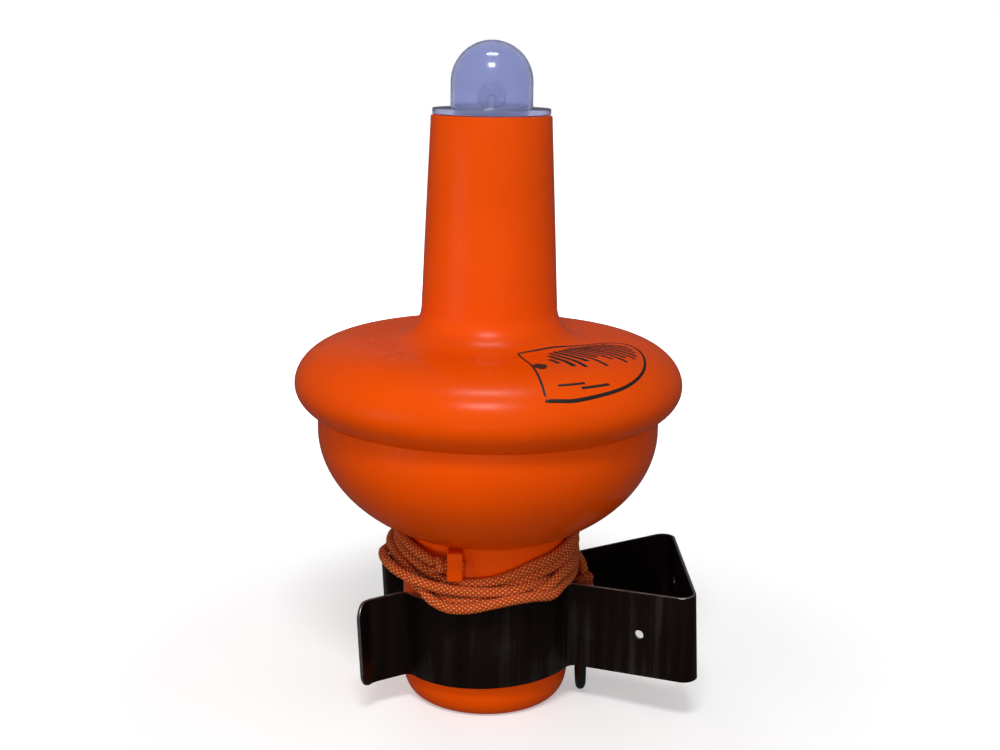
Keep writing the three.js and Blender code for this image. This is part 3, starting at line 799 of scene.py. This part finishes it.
def make_lanyard():
    spacing = 2.6
    line = settle(catmull(cord_route(), spacing), spacing)
    top = hook_top()
    drop = [top + Vector(p) for p in ((0.9, 0.6, 7.6), (0.7, 0, 5.4))]
    knots = [*line[:-1:4], line[-1], *drop]
    path = [p * MM for p in catmull(knots, 0.55)]
    return braided_tube("lanyard_cord", path), path, lengths_along(path)[-1]


def helix(centre, axis, side, radius, pitch, turns, steps):
    """Points in metres on a helix about an axis through centre, all given in millimetres."""
    axis, side = Vector(axis).normalized(), Vector(side).normalized()
    up = axis.cross(side)
    points = []
    for i in range(steps + 1):
        share = i / steps
        turn = 2 * pi * turns * share
        offset = (side * cos(turn) + up * sin(turn)) * radius
        points.append((Vector(centre) + offset + axis * (pitch * turns * (share - 0.5))) * MM)
    return points


def make_lug_knot():
    """Tight turns beside the lug, and the cord's fused end that fills the lug's eye."""
    eye = Vector(LUG_EYE)
    side = LUG_WIDTH / 2
    turns = helix(eye + Vector((-side - 3.6, -0.2, 0.2)), (1, 0, 0), (0, -1, 0), 2.1, 3.2, 1.7, 90)
    knot = braided_tube("lug_knot", turns, 3.6)
    through = [eye + Vector((x, 0, 0)) for x in (-side - 3, -side, 0, side, side + 0.8)]
    stub = braided_tube("lug_knot_end", [p * MM for p in catmull(through, 0.4)], 4.4)
    return [knot, stub]


def make_hook_knot():
    """The cord's eye round the hook's top bar, and the seizing turns above it."""
    top = hook_top()
    loop = []
    for i in range(97):
        turn = radians(90 + 360 * i / 96)
        around_bar = Vector((4.25 * cos(turn), 0.5 * cos(turn / 2), 4.7 * sin(turn)))
        loop.append((top + around_bar) * MM)
    eye = braided_tube("hook_cord_eye", loop, 4.1)
    turns = helix(top + Vector((0.6, 0, 7.4)), (0, 0, 1), (0, -1, 0), 2.6, 3.4, 1.7, 110)
    return [eye, braided_tube("hook_knot", turns, 3.7)]


# ------------ the light's shells

BOWL_RADIUS = 77.6
BOWL_DEPTH = 54.3
BOWL_WIDEST = 128
WALL = 2.3
BORE = CASE_RADIUS + 0.4
CASE_SEAL_RADIUS = BORE + 0.95
SLEEVE = 43.2
RIM_CENTRE = 58.6
RIM_REACH = 29.1
RIM_WIDEST = 149.3
RIM_RISE = 19.8
RIM_DROP = 18.2
DISC_TOP = RIM_WIDEST + RIM_RISE
NECK_FILLET = 15
NECK_TOP = 268
NECK_TOP_RADIUS = 26.7
NECK_TAPER = 0.0463
NECK_BORE = 20.4
SEAL_RADIUS = 22.3
SEAL_HEIGHT = 267
LENS_RADIUS = 18.05
LENS_TOP = 300
ROUND = 128


def degrees_acos(ratio):
    return degrees(acos(ratio))


def neck_radius(height):
    return NECK_TOP_RADIUS + NECK_TAPER * (NECK_TOP - height)


def fillet_place():
    """Radius and height of the centre of the fillet between disc and neck."""
    height = DISC_TOP + NECK_FILLET
    return neck_radius(height) + NECK_FILLET / cos(atan(NECK_TAPER)), height


def battery_case():
    inner = CASE_RADIUS - 2.4
    shell = turned("battery_case_shell", [
        (0, 0.7), (24, 0.7), (25, 0),
        *arc(CASE_RADIUS - 7, 12, 7, 12, -90, 0, 18),
        (CASE_RADIUS, 104), (CASE_RADIUS, 125.4), (CASE_RADIUS - 0.6, 126),
        (inner + 0.4, 126), (inner, 125.6), (inner, 8), (inner - 1.5, 3), (0, 3),
    ], [ORANGE], ROUND)
    root, top = 30, 80.9
    lug = block("lug", (LUG_WIDTH, LUG_FRONT - root, top - LUG_UNDERSIDE),
                (LUG_X, -(LUG_FRONT + root) / 2, (LUG_UNDERSIDE + top) / 2), 0.9, [ORANGE])
    boolean(lug, [pin("core", CASE_RADIUS - 1.2, (0, 0, 60), (0, 0, 90), [ORANGE], sides=96)], "DIFFERENCE")
    boolean(shell, [lug], "UNION")
    x, y, z = LUG_EYE
    boolean(shell, [pin("eye", 2.4, (x - 8, y, z), (x + 8, y, z), [ORANGE])], "DIFFERENCE")
    return shell


def lower_float():
    mouth_turn = -degrees_acos((BORE + 1.1) / BOWL_RADIUS)
    inner = BOWL_RADIUS - WALL
    inner_turn = -degrees_acos(SLEEVE / inner)
    groove = CASE_SEAL_RADIUS + 1.45
    shell = lathe("lower_float_skin", [
        (BORE, BOWL_MOUTH, 0.2), (BORE + 1.5, BOWL_MOUTH, 0.7),
        *arc(0, BOWL_WIDEST, BOWL_RADIUS, BOWL_DEPTH, mouth_turn + 0.8, 0, 48),
        (BOWL_RADIUS, 141, 0.5), (inner, 141, 0.5),
        *arc(0, BOWL_WIDEST, inner, BOWL_DEPTH - WALL, 0, inner_turn, 32),
        (SLEEVE, 137, 0.4), (33, 137, 0.4), (33, 135, 0.4), (BORE, 135),
        (BORE, 87.3, 0.2), (groove, 87.3), (groove, 84.7), (BORE, 84.7, 0.2),
    ], ORANGE, ROUND)
    boolean(shell, screw_holes(134, 138), "DIFFERENCE")
    return shell


def upper_float():
    lip = BOWL_RADIUS + 0.35
    lip_turn = -degrees_acos((lip - RIM_CENTRE) / RIM_REACH)
    inner_reach = RIM_REACH - WALL
    inner_lip_turn = -degrees_acos((lip - RIM_CENTRE) / inner_reach)
    lean = degrees(atan(NECK_TAPER))
    fillet_radius, fillet_height = fillet_place()
    groove = 1.3
    return turned("upper_float_skin", [
        *arc(RIM_CENTRE, RIM_WIDEST, RIM_REACH, RIM_DROP, lip_turn, 0, 20),
        *arc(RIM_CENTRE, RIM_WIDEST, RIM_REACH, RIM_RISE, 0, 90, 36)[1:],
        *arc(fillet_radius, fillet_height, NECK_FILLET, NECK_FILLET, 270, 180 + lean, 22),
        (neck_radius(240), 240), (NECK_TOP_RADIUS, NECK_TOP - 0.9),
        (NECK_TOP_RADIUS - 0.25, NECK_TOP - 0.25), (NECK_TOP_RADIUS - 0.9, NECK_TOP),
        (SEAL_RADIUS + groove, NECK_TOP), (SEAL_RADIUS + groove, SEAL_HEIGHT - groove),
        (SEAL_RADIUS - groove, SEAL_HEIGHT - groove), (SEAL_RADIUS - groove, NECK_TOP),
        (NECK_BORE, NECK_TOP), (NECK_BORE, 253.5), (14, 253.5), (14, 250.5),
        (neck_radius(250.5) - WALL, 250.5),
        *arc(fillet_radius, fillet_height, NECK_FILLET + WALL, NECK_FILLET + WALL, 180 + lean, 270, 14),
        *arc(RIM_CENTRE, RIM_WIDEST, inner_reach, RIM_RISE - WALL, 90, 0, 24),
        *arc(RIM_CENTRE, RIM_WIDEST, inner_reach, RIM_DROP - WALL, 0, inner_lip_turn, 14)[1:],
    ], [ORANGE], ROUND)


def lens():
    centre = LENS_TOP - LENS_RADIUS
    inner = LENS_RADIUS - 1.6
    return lathe("lens", [
        *arc(0, centre, LENS_RADIUS, LENS_RADIUS, 90, 0, 30),
        (LENS_RADIUS, 271, 0.9), (26, 271, 0.6), (26, 268.3, 0.5),
        (20, 268.3, 0.2), (20, 258, 0.5), (17.6, 258, 0.5), (inner, 271),
        *arc(0, centre, inner, inner, 0, 90, 26),
    ], LENS, ROUND)


def seal(name, radius, height):
    return turned(name, arc(radius, height, 1, 1, 0, 345, 23), [RUBBER], ROUND)


# ------------ printed label, with no lettering

def disc_height(radius):
    """The height of the float's upper surface, from the neck's fillet to the rim, in millimetres."""
    fillet_radius, fillet_height = fillet_place()
    if radius < fillet_radius:
        return fillet_height - sqrt(NECK_FILLET ** 2 - (fillet_radius - radius) ** 2)
    if radius < RIM_CENTRE:
        return DISC_TOP
    return RIM_WIDEST + RIM_RISE * sqrt(1 - ((radius - RIM_CENTRE) / RIM_REACH) ** 2)


def on_disc(x, y, lift):
    return (x * MM, y * MM, (disc_height(hypot(x, y)) + lift) * MM)


def ink_line(vertices, faces, points, width, closed=False):
    """Adds a thin raised line that follows the disc through points in plan, in millimetres."""
    count = len(points)
    first = len(vertices)
    for i, p in enumerate(points):
        before = points[i - 1] if closed or i else p
        after = points[(i + 1) % count] if closed or i < count - 1 else p
        along = (Vector(after) - Vector(before)).normalized()
        across = Vector((-along.y, along.x)) * width / 2
        for side, lift in ((1, -0.12), (1, 0.05), (-1, 0.05), (-1, -0.12)):
            vertices.append(on_disc(p[0] + side * across.x, p[1] + side * across.y, lift))
    for i in range(count if closed else count - 1):
        here, there = first + 4 * i, first + 4 * ((i + 1) % count)
        for k in range(4):
            m = (k + 1) % 4
            faces.append((here + k, here + m, there + m, there + k))
    if not closed:
        faces.append(tuple(first + k for k in range(4)))
        faces.append(tuple(first + 4 * (count - 1) + k for k in (3, 2, 1, 0)))


# The label's outline on the disc as azimuths and radii, from the outer left corner round to the inner one.
LABEL_EDGE = [
    (-74, 84), (-66, 84.4), (-57, 83.8), (-49, 83), (-42, 81.6), (-35, 79.3), (-29, 76.5), (-23, 73),
    (-18, 69.3), (-13.5, 64.5), (-11.5, 59.5), (-12.5, 54), (-17, 48.5), (-25, 44), (-35, 41), (-46, 39.7),
    (-58, 40), (-72.5, 41.5),
]

# A dot and rows of plain bars inside the outline: azimuth, inner and outer radius, width.
LABEL_BARS = [
    (-72.5, 61.6, 65.4, 1.15), (-71.5, 60.4, 66.6, 1.15), (-70.5, 60, 67, 1.15), (-69.5, 60.4, 66.6, 1.15),
    (-68.5, 61.6, 65.4, 1.15),
    (-62, 54, 62, 2.2), (-58, 48, 67, 2.4), (-54, 44, 69, 2.0), (-49.5, 43, 64, 2.4), (-45.5, 43, 71, 1.7),
    (-42, 43, 62, 2.0), (-38.5, 43, 67, 1.7), (-35.2, 43, 72, 1.7), (-32, 44, 69, 1.9), (-29, 45, 72, 1.6),
    (-26, 46, 71, 1.8), (-23, 47, 69, 1.6), (-20, 49, 67, 1.7), (-17.2, 52, 64, 1.5),
]


def printed_label():
    """A plain outline with a dot and rows of plain bars, printed on the disc in black."""
    vertices, faces = [], []
    edge = catmull([(*in_plan(azimuth, radius), 0) for azimuth, radius in LABEL_EDGE], 1.6)
    inner, outer = edge[-1], edge[0]
    outline = edge + [inner.lerp(outer, i / 20) for i in range(1, 20)]
    ink_line(vertices, faces, [(p.x, p.y) for p in outline], 1.05, closed=True)
    shares = [i / 12 for i in range(13)]
    for azimuth, start, end, width in LABEL_BARS:
        bar = [in_plan(azimuth, start + (end - start) * share) for share in shares]
        ink_line(vertices, faces, bar, width)
    for radius, first, last in ((78.5, -69, -60), (80.5, -62, -52)):
        row = [in_plan(first + (last - first) * share, radius) for share in shares]
        ink_line(vertices, faces, row, 1.0)
    return finish_mesh("printed_label", vertices, faces, [INK], sharp=40)


# ------------ bracket

STRIP_THICKNESS = 1.5
STRIP_HEIGHT = 40
STRIP_BASE = 16.9
PLATE_FACE = 94.5
PLATE_BEND = 116.35
PLATE_HALF = 37.4
ARM_RUN = 48.9
FRONT_FLARE = 12.2
REAR_FLARE = 6
PLATE_HOLE_Y = 30
ARM_HOLE = (69.3, -34.1)
BOLT_HOLE = 2.15
STRIP_EDGE = 0.32
TIP_ROUND = 7.0


def half_line(flare):
    """Half of the strip's centreline on the front side, from the middle of the wall plate to the tip."""
    moves = [(PLATE_HALF, None, None), (None, 5.5, -PLATE_BEND), (ARM_RUN, None, None), (None, 5, 84.05),
             (None, 41.75, -111.2), (None, 4.5, 82), (flare, None, None), (None, 10, 42), (4.5, None, None)]
    at, heading = Vector((PLATE_FACE - STRIP_THICKNESS / 2, 0)), radians(-90)
    line = [at.copy()]
    for run, radius, turn in moves:
        if run:
            start = at.copy()
            steps = max(1, round(run))
            for i in range(1, steps + 1):
                at = start + Vector((cos(heading), sin(heading))) * (run * i / steps)
                line.append(at.copy())
            continue
        total, side = radians(turn), copysign(1, turn)
        centre = at + Vector((-sin(heading), cos(heading))) * side * radius
        steps = ceil(abs(turn) / 3)
        for i in range(1, steps + 1):
            bearing = heading + total * i / steps
            at = centre + Vector((sin(bearing), -cos(bearing))) * side * radius
            line.append(at.copy())
        heading += total
    return line


def tip_trim(distance):
    """How much lower the strip is, this far from its tip, where the corners are round."""
    if distance >= TIP_ROUND:
        return 0.0
    return TIP_ROUND - sqrt(TIP_ROUND ** 2 - (TIP_ROUND - distance) ** 2)


def bracket():
    rear = [Vector((p.x, -p.y)) for p in half_line(REAR_FLARE)]
    line = rear[:0:-1] + half_line(FRONT_FLARE)
    travelled = lengths_along(line)
    ends = [0.0, 0.12, 0.3, 0.6, 1.0, 1.6, 2.4, 3.4, 4.6, 5.8]
    total = travelled[-1]
    stations = sorted({*ends, *(total - e for e in ends), *(d for d in travelled if 6.2 < d < total - 6.2)})
    half_width = STRIP_THICKNESS / 2
    vertices, faces, slots, rows = [], [], [], []
    for station in stations:
        i = max(k for k, d in enumerate(travelled) if d <= station + 1e-9)
        i = min(i, len(line) - 2)
        share = (station - travelled[i]) / (travelled[i + 1] - travelled[i])
        p = line[i].lerp(line[i + 1], share)
        before, after = line[max(i - 1, 0)], line[min(i + 2, len(line) - 1)]
        along = (line[i + 1] - before).normalized().lerp((after - line[i]).normalized(), share).normalized()
        across = Vector((-along.y, along.x))
        trim = tip_trim(min(station, total - station))
        low, high = trim, STRIP_HEIGHT - trim
        ring = []
        for x, z, begin in ((half_width, low, -90), (half_width, high, 0), (-half_width, high, 90),
                            (-half_width, low, 180)):
            corner_x = x - copysign(STRIP_EDGE, x)
            corner_z = z + (STRIP_EDGE if z == low else -STRIP_EDGE)
            ring += arc(corner_x, corner_z, STRIP_EDGE, STRIP_EDGE, begin, begin + 90, 3)
        rows.append(list(range(len(vertices), len(vertices) + len(ring))))
        for x, z in ring:
            flat = p + across * x
            vertices.append((flat.x * MM, flat.y * MM, z * MM))
    count = len(rows[0])
    for a, b in zip(rows, rows[1:]):
        for k in range(count):
            m = (k + 1) % count
            faces.append((a[k], a[m], b[m], b[k]))
            slots.append(1 if k in (5, 6, 7, 13, 14, 15) else 0)
    faces += [tuple(reversed(rows[0])), tuple(rows[-1])]
    slots += [1, 1]
    strip = finish_mesh("bracket_band", vertices, faces, [STEEL, STEEL_EDGE], sharp=40, slots=slots)
    middle = STRIP_HEIGHT / 2
    cutters = []
    for side in (-1, 1):
        hole = [(PLATE_FACE + step, side * PLATE_HOLE_Y, middle) for step in (-5, 4)]
        cutters.append(pin("plate_hole", BOLT_HOLE, *hole, [STEEL_EDGE]))
    facing = radians(-PLATE_BEND)
    normal = Vector((cos(facing), sin(facing), 0)) * 4
    place = Vector((*ARM_HOLE, middle))
    cutters.append(pin("arm_hole", BOLT_HOLE, place - normal, place + normal, [STEEL_EDGE]))
    boolean(strip, cutters, "DIFFERENCE", sharp=40)
    strip.data.transform(Matrix.Translation((middle * sin(BAND_TILT) * MM, 0, STRIP_BASE * MM))
                         @ Matrix.Rotation(-BAND_TILT, 4, "Y"))
    return strip


# ------------ snap hook

HOOK_BOW_CENTRE = 10.8
HOOK_BOW_RADIUS = 8
HOOK_EYE_CENTRE = 42.2
HOOK_EYE_RADIUS = 5
GATE_BOTTOM = 18.6
GATE_PIVOT = 34


def hook_side(height):
    """Half the hook's width, to the middle of its rod, at a height."""
    share = (height - HOOK_BOW_CENTRE) / (HOOK_EYE_CENTRE - HOOK_BOW_CENTRE)
    return HOOK_BOW_RADIUS + (HOOK_EYE_RADIUS - HOOK_BOW_RADIUS) * share


def make_hook():
    top = hook_top()
    origin = Vector((top.x, top.y, 0))
    foot = GATE_PIVOT + 3.4
    line = [(-hook_side(GATE_BOTTOM), GATE_BOTTOM),
            *arc(0, HOOK_BOW_CENTRE, HOOK_BOW_RADIUS, HOOK_BOW_RADIUS, 180, 360, 9),
            *arc(0, HOOK_EYE_CENTRE, HOOK_EYE_RADIUS, HOOK_EYE_RADIUS, 0, 180, 8),
            (-hook_side(foot), foot)]
    path = [p * MM for p in catmull([origin + Vector((0, y, z)) for y, z in line], 0.7)]
    rod_end = 3 * MM
    length = lengths_along(path)[-1]

    def swell(share):
        at = share * length
        near = min(at, length - at)
        return HOOK_ROD * MM * (0.8 + 0.2 * min(1, near / rod_end) ** 0.5)

    body = tube("snap_hook_body", path, swell, [HOOK_STEEL], sides=28)
    pivot = origin + Vector((0, -hook_side(GATE_PIVOT), GATE_PIVOT))
    tongue = block("tongue", (1.5, 3.4, 7.4), pivot + Vector((0, 0, 1.6)), 0.3, [HOOK_STEEL])
    boolean(body, [tongue], "UNION")
    across = Vector((4, 0, 0))
    boolean(body, [pin("pin_hole", 0.95, pivot - across, pivot + across)], "DIFFERENCE")
    gate_top, gate_foot = GATE_PIVOT + 2.8, GATE_BOTTOM + 0.7
    lean = atan2(hook_side(gate_foot) - hook_side(gate_top), gate_top - gate_foot)
    gate = lathe("snap_hook_gate", [
        (0, gate_foot - GATE_PIVOT), (HOOK_ROD, gate_foot - GATE_PIVOT, 0.5),
        (HOOK_ROD, gate_top - GATE_PIVOT, 0.7), (0, gate_top - GATE_PIVOT)], HOOK_STEEL, 28)
    slot = block("slot", (2.2, 8, 8.4), (0, 0, 0.6), 0.1, [HOOK_STEEL])
    boolean(gate, [slot, pin("pin_hole", 0.95, (-4, 0, 0), (4, 0, 0))], "DIFFERENCE")
    gate.data.transform(Matrix.Translation(pivot * MM) @ Matrix.Rotation(-lean, 4, "X"))
    rivet = lathe("snap_hook_pin", [(0, -2.2), (0.62, -2.2, 0.2), (0.62, 2.2, 0.2), (0, 2.2)], HOOK_STEEL, 24)
    rivet.data.transform(Matrix.Translation(pivot * MM) @ Matrix.Rotation(pi / 2, 4, "Y"))
    return body, gate, rivet


# ------------ inner pieces

SCREW_CIRCLE = 36
SCREW_HOLE = 1.75
CELL_RADIUS = 17
CELL_LENGTH = 61
COLUMN = 17.3
FLANGE_TOP = 137
DECK_UNDER = 132
DECK_TOP = 134.6
SWITCH_PLACE = (-10, 8)
SWITCH_TOP = 170
BALL_RADIUS = 4.2
SPRING_LOW = 127.25
SPRING_HIGH = 131.25
SPRING_WIRE = 0.45
HOLDER_BASE = 240
BULB_CENTRE = 275.5
BULB_RADIUS = 6.5
LEAD_RADIUS = 0.9


def screw_places():
    return [in_plan(90 + 120 * i, SCREW_CIRCLE) for i in range(3)]


def screw_holes(bottom, top):
    return [pin("hole", SCREW_HOLE, (x, y, bottom), (x, y, top)) for x, y in screw_places()]


def make_cell(node):
    low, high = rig.box(node)
    shoulder = CELL_LENGTH - 1.6
    outline = rounded([
        (0, 0.4), (11, 0.4), (12, 0, 0.3), (16.2, 0, 0.4), (CELL_RADIUS - 0.25, 1.2, 0.2),
        (CELL_RADIUS, 1.6, 0.2), (CELL_RADIUS, shoulder - 1.8, 0.4), (CELL_RADIUS - 0.9, shoulder - 0.1, 0.4),
        (9.6, shoulder - 0.1), (9, shoulder, 0.3), (4.8, shoulder, 0.3), (4.8, CELL_LENGTH, 0.6),
        (0, CELL_LENGTH)])

    def bare(point):
        return 0 if 1.1 < point[1] < shoulder - 1 and point[0] > 16 else 1

    cell = turned(f"{node}_cell", outline, [JACKET, BRIGHT], 64, slots_at=bare)
    centre = (low + high) / 2
    if centre.x > 0:
        cell.data.transform(Matrix.Translation((0, 0, CELL_LENGTH * MM)) @ Matrix.Rotation(pi, 4, "X"))
    cell.data.transform(Matrix.Translation((centre.x, centre.y, low.z)))
    return cell


def shifted(obj, x, y):
    obj.data.transform(Matrix.Translation((x * MM, y * MM, 0)))
    return obj


def contact_spring(side, x):
    """A conical spring of two and a half turns between a cell column and the deck."""
    coil = []
    for i in range(121):
        share = i / 120
        angle, radius = 5 * pi * share, 4 + 3 * share
        height = SPRING_LOW + (SPRING_HIGH - SPRING_LOW) * share
        coil.append(Vector((radius * cos(angle) + x, radius * sin(angle), height)) * MM)
    return tube(f"spring_{side}", coil, SPRING_WIRE * MM, [STAINLESS], sides=10)


def smooth_wire(name, points, spacing, radius, finish, sides):
    return tube(name, [p * MM for p in catmull(points, spacing)], radius * MM, [finish], sides=sides)


def power_pieces():
    """Yields the cells and the pieces round them: piece, body and CAD node."""
    for i in range(1, 5):
        yield make_cell(f"battery_{i}"), "case", f"battery_{i}"
    cradle = lathe("cell_cradle", [(0, 8.2), (35.9, 8.2, 0.8), (35.9, 122, 0.8), (0, 122)], PALE)
    pockets = [pin("pocket", 17.5, (x, 0, 4), (x, 0, 124), sides=72) for x in (-COLUMN, COLUMN)]
    boolean(cradle, pockets, "DIFFERENCE")
    yield cradle, "case", "battery_cradle"
    strap = block("cell_strap", (46.6, 12, 0.5), (0, 0, 3.6), 0.12, [STAINLESS])
    yield strap, "case", "bottom_strap"
    foam = lathe("foam_ring", [
        (44.2, 96, 2), (58, 100, 6), (70, 116, 8), (73.5, 130, 6), (73.5, 150, 4), (66, 160, 3),
        (44.2, 163, 2)], FOAM)
    yield foam, "float", "float_foam"
    deck = lathe("deck", [
        (0, DECK_UNDER), (38.6, DECK_UNDER, 0.3), (38.6, DECK_TOP, 0.3), (0, DECK_TOP)], BOARD)
    boolean(deck, screw_holes(131, 136), "DIFFERENCE")
    yield deck, "float", "contact_deck"
    head, end = DECK_UNDER - 0.3, FLANGE_TOP - 0.4
    for i, place in enumerate(screw_places(), 1):
        screw = lathe(f"screw_{i}", [
            (0, head - 1.5), (1.5, head - 1.5), (1.7, head - 2.2, 0.1), (2.6, head - 2.2, 0.7),
            (2.6, head, 0.2), (1.4, head, 0.1), (1.4, end, 0.4), (0, end)], STAINLESS, 32)
        yield shifted(screw, *place), "float", f"deck_screw_{i}"
    for side, x in (("left", -COLUMN), ("right", COLUMN)):
        yield contact_spring(side, x), "float", f"contact_spring_{side}"


def switch_pieces():
    """Yields the gravity switch: piece, body and CAD node."""
    base = DECK_TOP + 0.3
    barrel = lathe("switch_barrel", [
        (0, base), (6.5, base, 0.5), (6.5, SWITCH_TOP, 0.3), (4.5, SWITCH_TOP, 0.3), (4.5, base + 2.4, 0.8),
        (0, base + 2.4)], PALE, 48)
    yield shifted(barrel, *SWITCH_PLACE), "float", "switch_tube"
    cap = lathe("switch_lid", [
        (0, SWITCH_TOP - 3), (4.1, SWITCH_TOP - 3, 0.3), (4.1, SWITCH_TOP + 0.3),
        (6.5, SWITCH_TOP + 0.3, 0.2), (6.5, SWITCH_TOP + 2.8, 0.6), (0, SWITCH_TOP + 2.8)], BRASS, 48)
    yield shifted(cap, *SWITCH_PLACE), "float", "switch_cap"
    centre = base + 2.4 + 0.3 + BALL_RADIUS
    outline = arc(0, centre, BALL_RADIUS, BALL_RADIUS, -90, 90, 28)
    ball = turned("switch_ball_bearing", outline, [STAINLESS], 48)
    yield shifted(ball, *SWITCH_PLACE), "ball", "switch_ball"


def lamp_pieces():
    """Yields the bulb and the pieces round it: piece, body and CAD node."""
    holder = lathe("bulb_holder", [
        (0, HOLDER_BASE), (11, HOLDER_BASE, 0.6), (11, 253.8, 0.3), (19.9, 253.8, 0.4), (19.9, 256.4, 0.4),
        (8, 256.4, 0.4), (8, 262, 0.4), (5.1, 262, 0.3), (5.1, 244, 0.3), (0, 244)], PALE, 64)
    yield holder, "float", "lamp_holder"
    dish = turned("reflector_dish", [
        (8.2, 262.4), (9, 262.4), *arc(9.2, 270.2, 6.3, 7.7, -75, 0, 8), (15.6, 270.5), (15.2, 270.7),
        *arc(9.2, 270.4, 5.7, 7.1, 0, -75, 8), (8.2, 263.4)], [BRIGHT], 64)
    yield dish, "float", "reflector"
    socket = lathe("bulb_base", [
        (0, 244.3), (3, 244.3, 0.6), (4.7, 246, 0.4), (4.7, 265.5, 0.4), (0, 265.5)], BRASS, 48)
    yield socket, "float", "bulb_cap"
    skin, stem = 0.6, 4.1
    inner = BULB_RADIUS - skin
    outer_turn, inner_turn = degrees_acos(stem / BULB_RADIUS), degrees_acos((stem - skin) / inner)
    glass = turned("bulb_envelope", [
        (stem, 265.8), *arc(0, BULB_CENTRE, BULB_RADIUS, BULB_RADIUS, -outer_turn, 90, 24),
        *arc(0, BULB_CENTRE, inner, inner, 90, -inner_turn, 20), (stem - skin, 265.8)], [GLASS], 64)
    yield glass, "float", "bulb_glass"
    foot = 265.9
    half = [(-1.5, foot), (-1.9, foot + 6), (-1.6, foot + 9.4)]
    wire = [(x, 0, z) for x, z in [*half, (0, foot + 10.4), *((-x, z) for x, z in reversed(half))]]
    yield smooth_wire("filament", wire, 0.3, 0.3, DULL, 10), "float", "bulb_filament"
    x, y = SWITCH_PLACE
    end = HOLDER_BASE - 0.5
    supply = [(x, y, SWITCH_TOP + 3.2), (x - 2, y + 1, 184), (-9, 5, 205), (-5, 2, 224), (-4, 0, end)]
    back = [(12, -6, DECK_TOP + 0.5), (13, -8, 150), (10, -9, 180), (6, -4, 212), (4, 0, end)]
    yield smooth_wire("red_lead", supply, 1.0, LEAD_RADIUS, RED, 14), "float", "supply_wire"
    yield smooth_wire("black_lead", back, 1.0, LEAD_RADIUS, BLACK, 14), "float", "return_wire"


# ------------ putting it together

def carry(obj, body, *nodes):
    """Fixes a piece to its body in place of CAD nodes, with the slot that its first material has."""
    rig.ride(obj, body)
    if nodes:
        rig.replaces(obj, *nodes)
    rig.slot(obj, SLOT_OF[obj.data.materials[0]])


make_camera()
make_studio()

ORANGE = moulded_plastic("orange_moulding", (0.90, 0.082, 0.0), 0.24)
CORD = braided_cord()
LENS = clear_plastic("tinted_lens", (0.53, 0.57, 0.83), 0.10, 0.82)
GLASS = clear_plastic("bulb_glass_clear", (0.93, 0.95, 1.0), 0.02)
STEEL = dark_steel()
STEEL_EDGE = metal("sheared_steel_edge", (0.52, 0.52, 0.52), 0.36, brushed=(1, 1, 8))
STAINLESS = metal("satin_stainless", (0.30, 0.30, 0.285), 0.34, brushed=(1, 1, 0.3))
HOOK_STEEL = metal("weathered_hook_steel", (0.105, 0.105, 0.095), 0.42, brushed=(1, 1, 0.3), wear=0.35)
DULL = metal("filament_wire", (0.30, 0.29, 0.28), 0.5)
BRIGHT = metal("polished_metal", (0.78, 0.80, 0.84), 0.16)
BRASS = metal("brass_pressing", (0.65, 0.42, 0.12), 0.28)
RUBBER = matte("black_rubber", (0.012, 0.012, 0.013), 0.55)
PALE = matte("pale_moulding", (0.74, 0.73, 0.67), 0.45)
FOAM = matte("closed_cell_foam", (0.88, 0.83, 0.70), 0.9, grain_scale=500, depth=0.0004)
BOARD = matte("laminate_board", (0.24, 0.12, 0.04), 0.5)
JACKET = matte("cell_jacket", (0.035, 0.038, 0.048), 0.32)
RED = matte("red_insulation", (0.50, 0.012, 0.008), 0.42)
BLACK = matte("black_insulation", (0.012, 0.012, 0.012), 0.42)
INK = matte("printing_ink", (0.018, 0.012, 0.010), 0.5)
SLOT_OF = {
    ORANGE: "orange_plastic", CORD: "orange_cord", LENS: "clear_lens", GLASS: "clear_lens",
    STEEL: "spring_steel", STAINLESS: "stainless", HOOK_STEEL: "stainless", DULL: "stainless",
    BRIGHT: "bright_metal", BRASS: "brass", RUBBER: "rubber", PALE: "pale_plastic", FOAM: "foam",
    BOARD: "deck_board", JACKET: "battery_jacket", RED: "red_wire", BLACK: "black_wire",
}

make_floor()

cord, cord_path, cord_length = make_lanyard()
lug_knots = make_lug_knot()
hook_knots = make_hook_knot()
hook, gate, rivet = make_hook()
carry(cord, "case", "cord_winding", "cord_front_loop")
carry(lug_knots[0], "case", "cord_knot")
carry(hook_knots[1], "case", "cord_tail")
for extra in (lug_knots[1], hook_knots[0]):
    carry(extra, "case")
carry(hook, "case", "hook_body")
carry(gate, "gate", "hook_gate")
carry(rivet, "case", "hook_pin")
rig.cord(cord, exit=cord_path[0], length=round(cord_length, 3), diameter=CORD_DIAMETER * MM,
        far_end="fitting", stiffness="limp", lay="coiled", path=cord_path,
        with_pieces=[*lug_knots, *hook_knots, hook, gate, rivet])

carry(battery_case(), "case", "battery_case")
carry(lower_float(), "float", "lower_float_shell")
carry(upper_float(), "float", "upper_float_shell")
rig.ride(printed_label(), "float")
carry(lens(), "lens", "lens_dome")
carry(seal("lens_ring_seal", SEAL_RADIUS, SEAL_HEIGHT), "lens_ring", "lens_seal")
carry(seal("case_ring_seal", CASE_SEAL_RADIUS, 86), "case_ring", "case_seal")
carry(bracket(), "bracket", "bracket_strip")
for piece, body, node in (*power_pieces(), *switch_pieces(), *lamp_pieces()):
    carry(piece, body, node)

looks_low, looks_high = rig.bounds()
with open("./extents.json", "w") as out:
    json.dump({"cad": [list(cad_low), list(cad_high)], "looks": [list(looks_low), list(looks_high)]}, out)
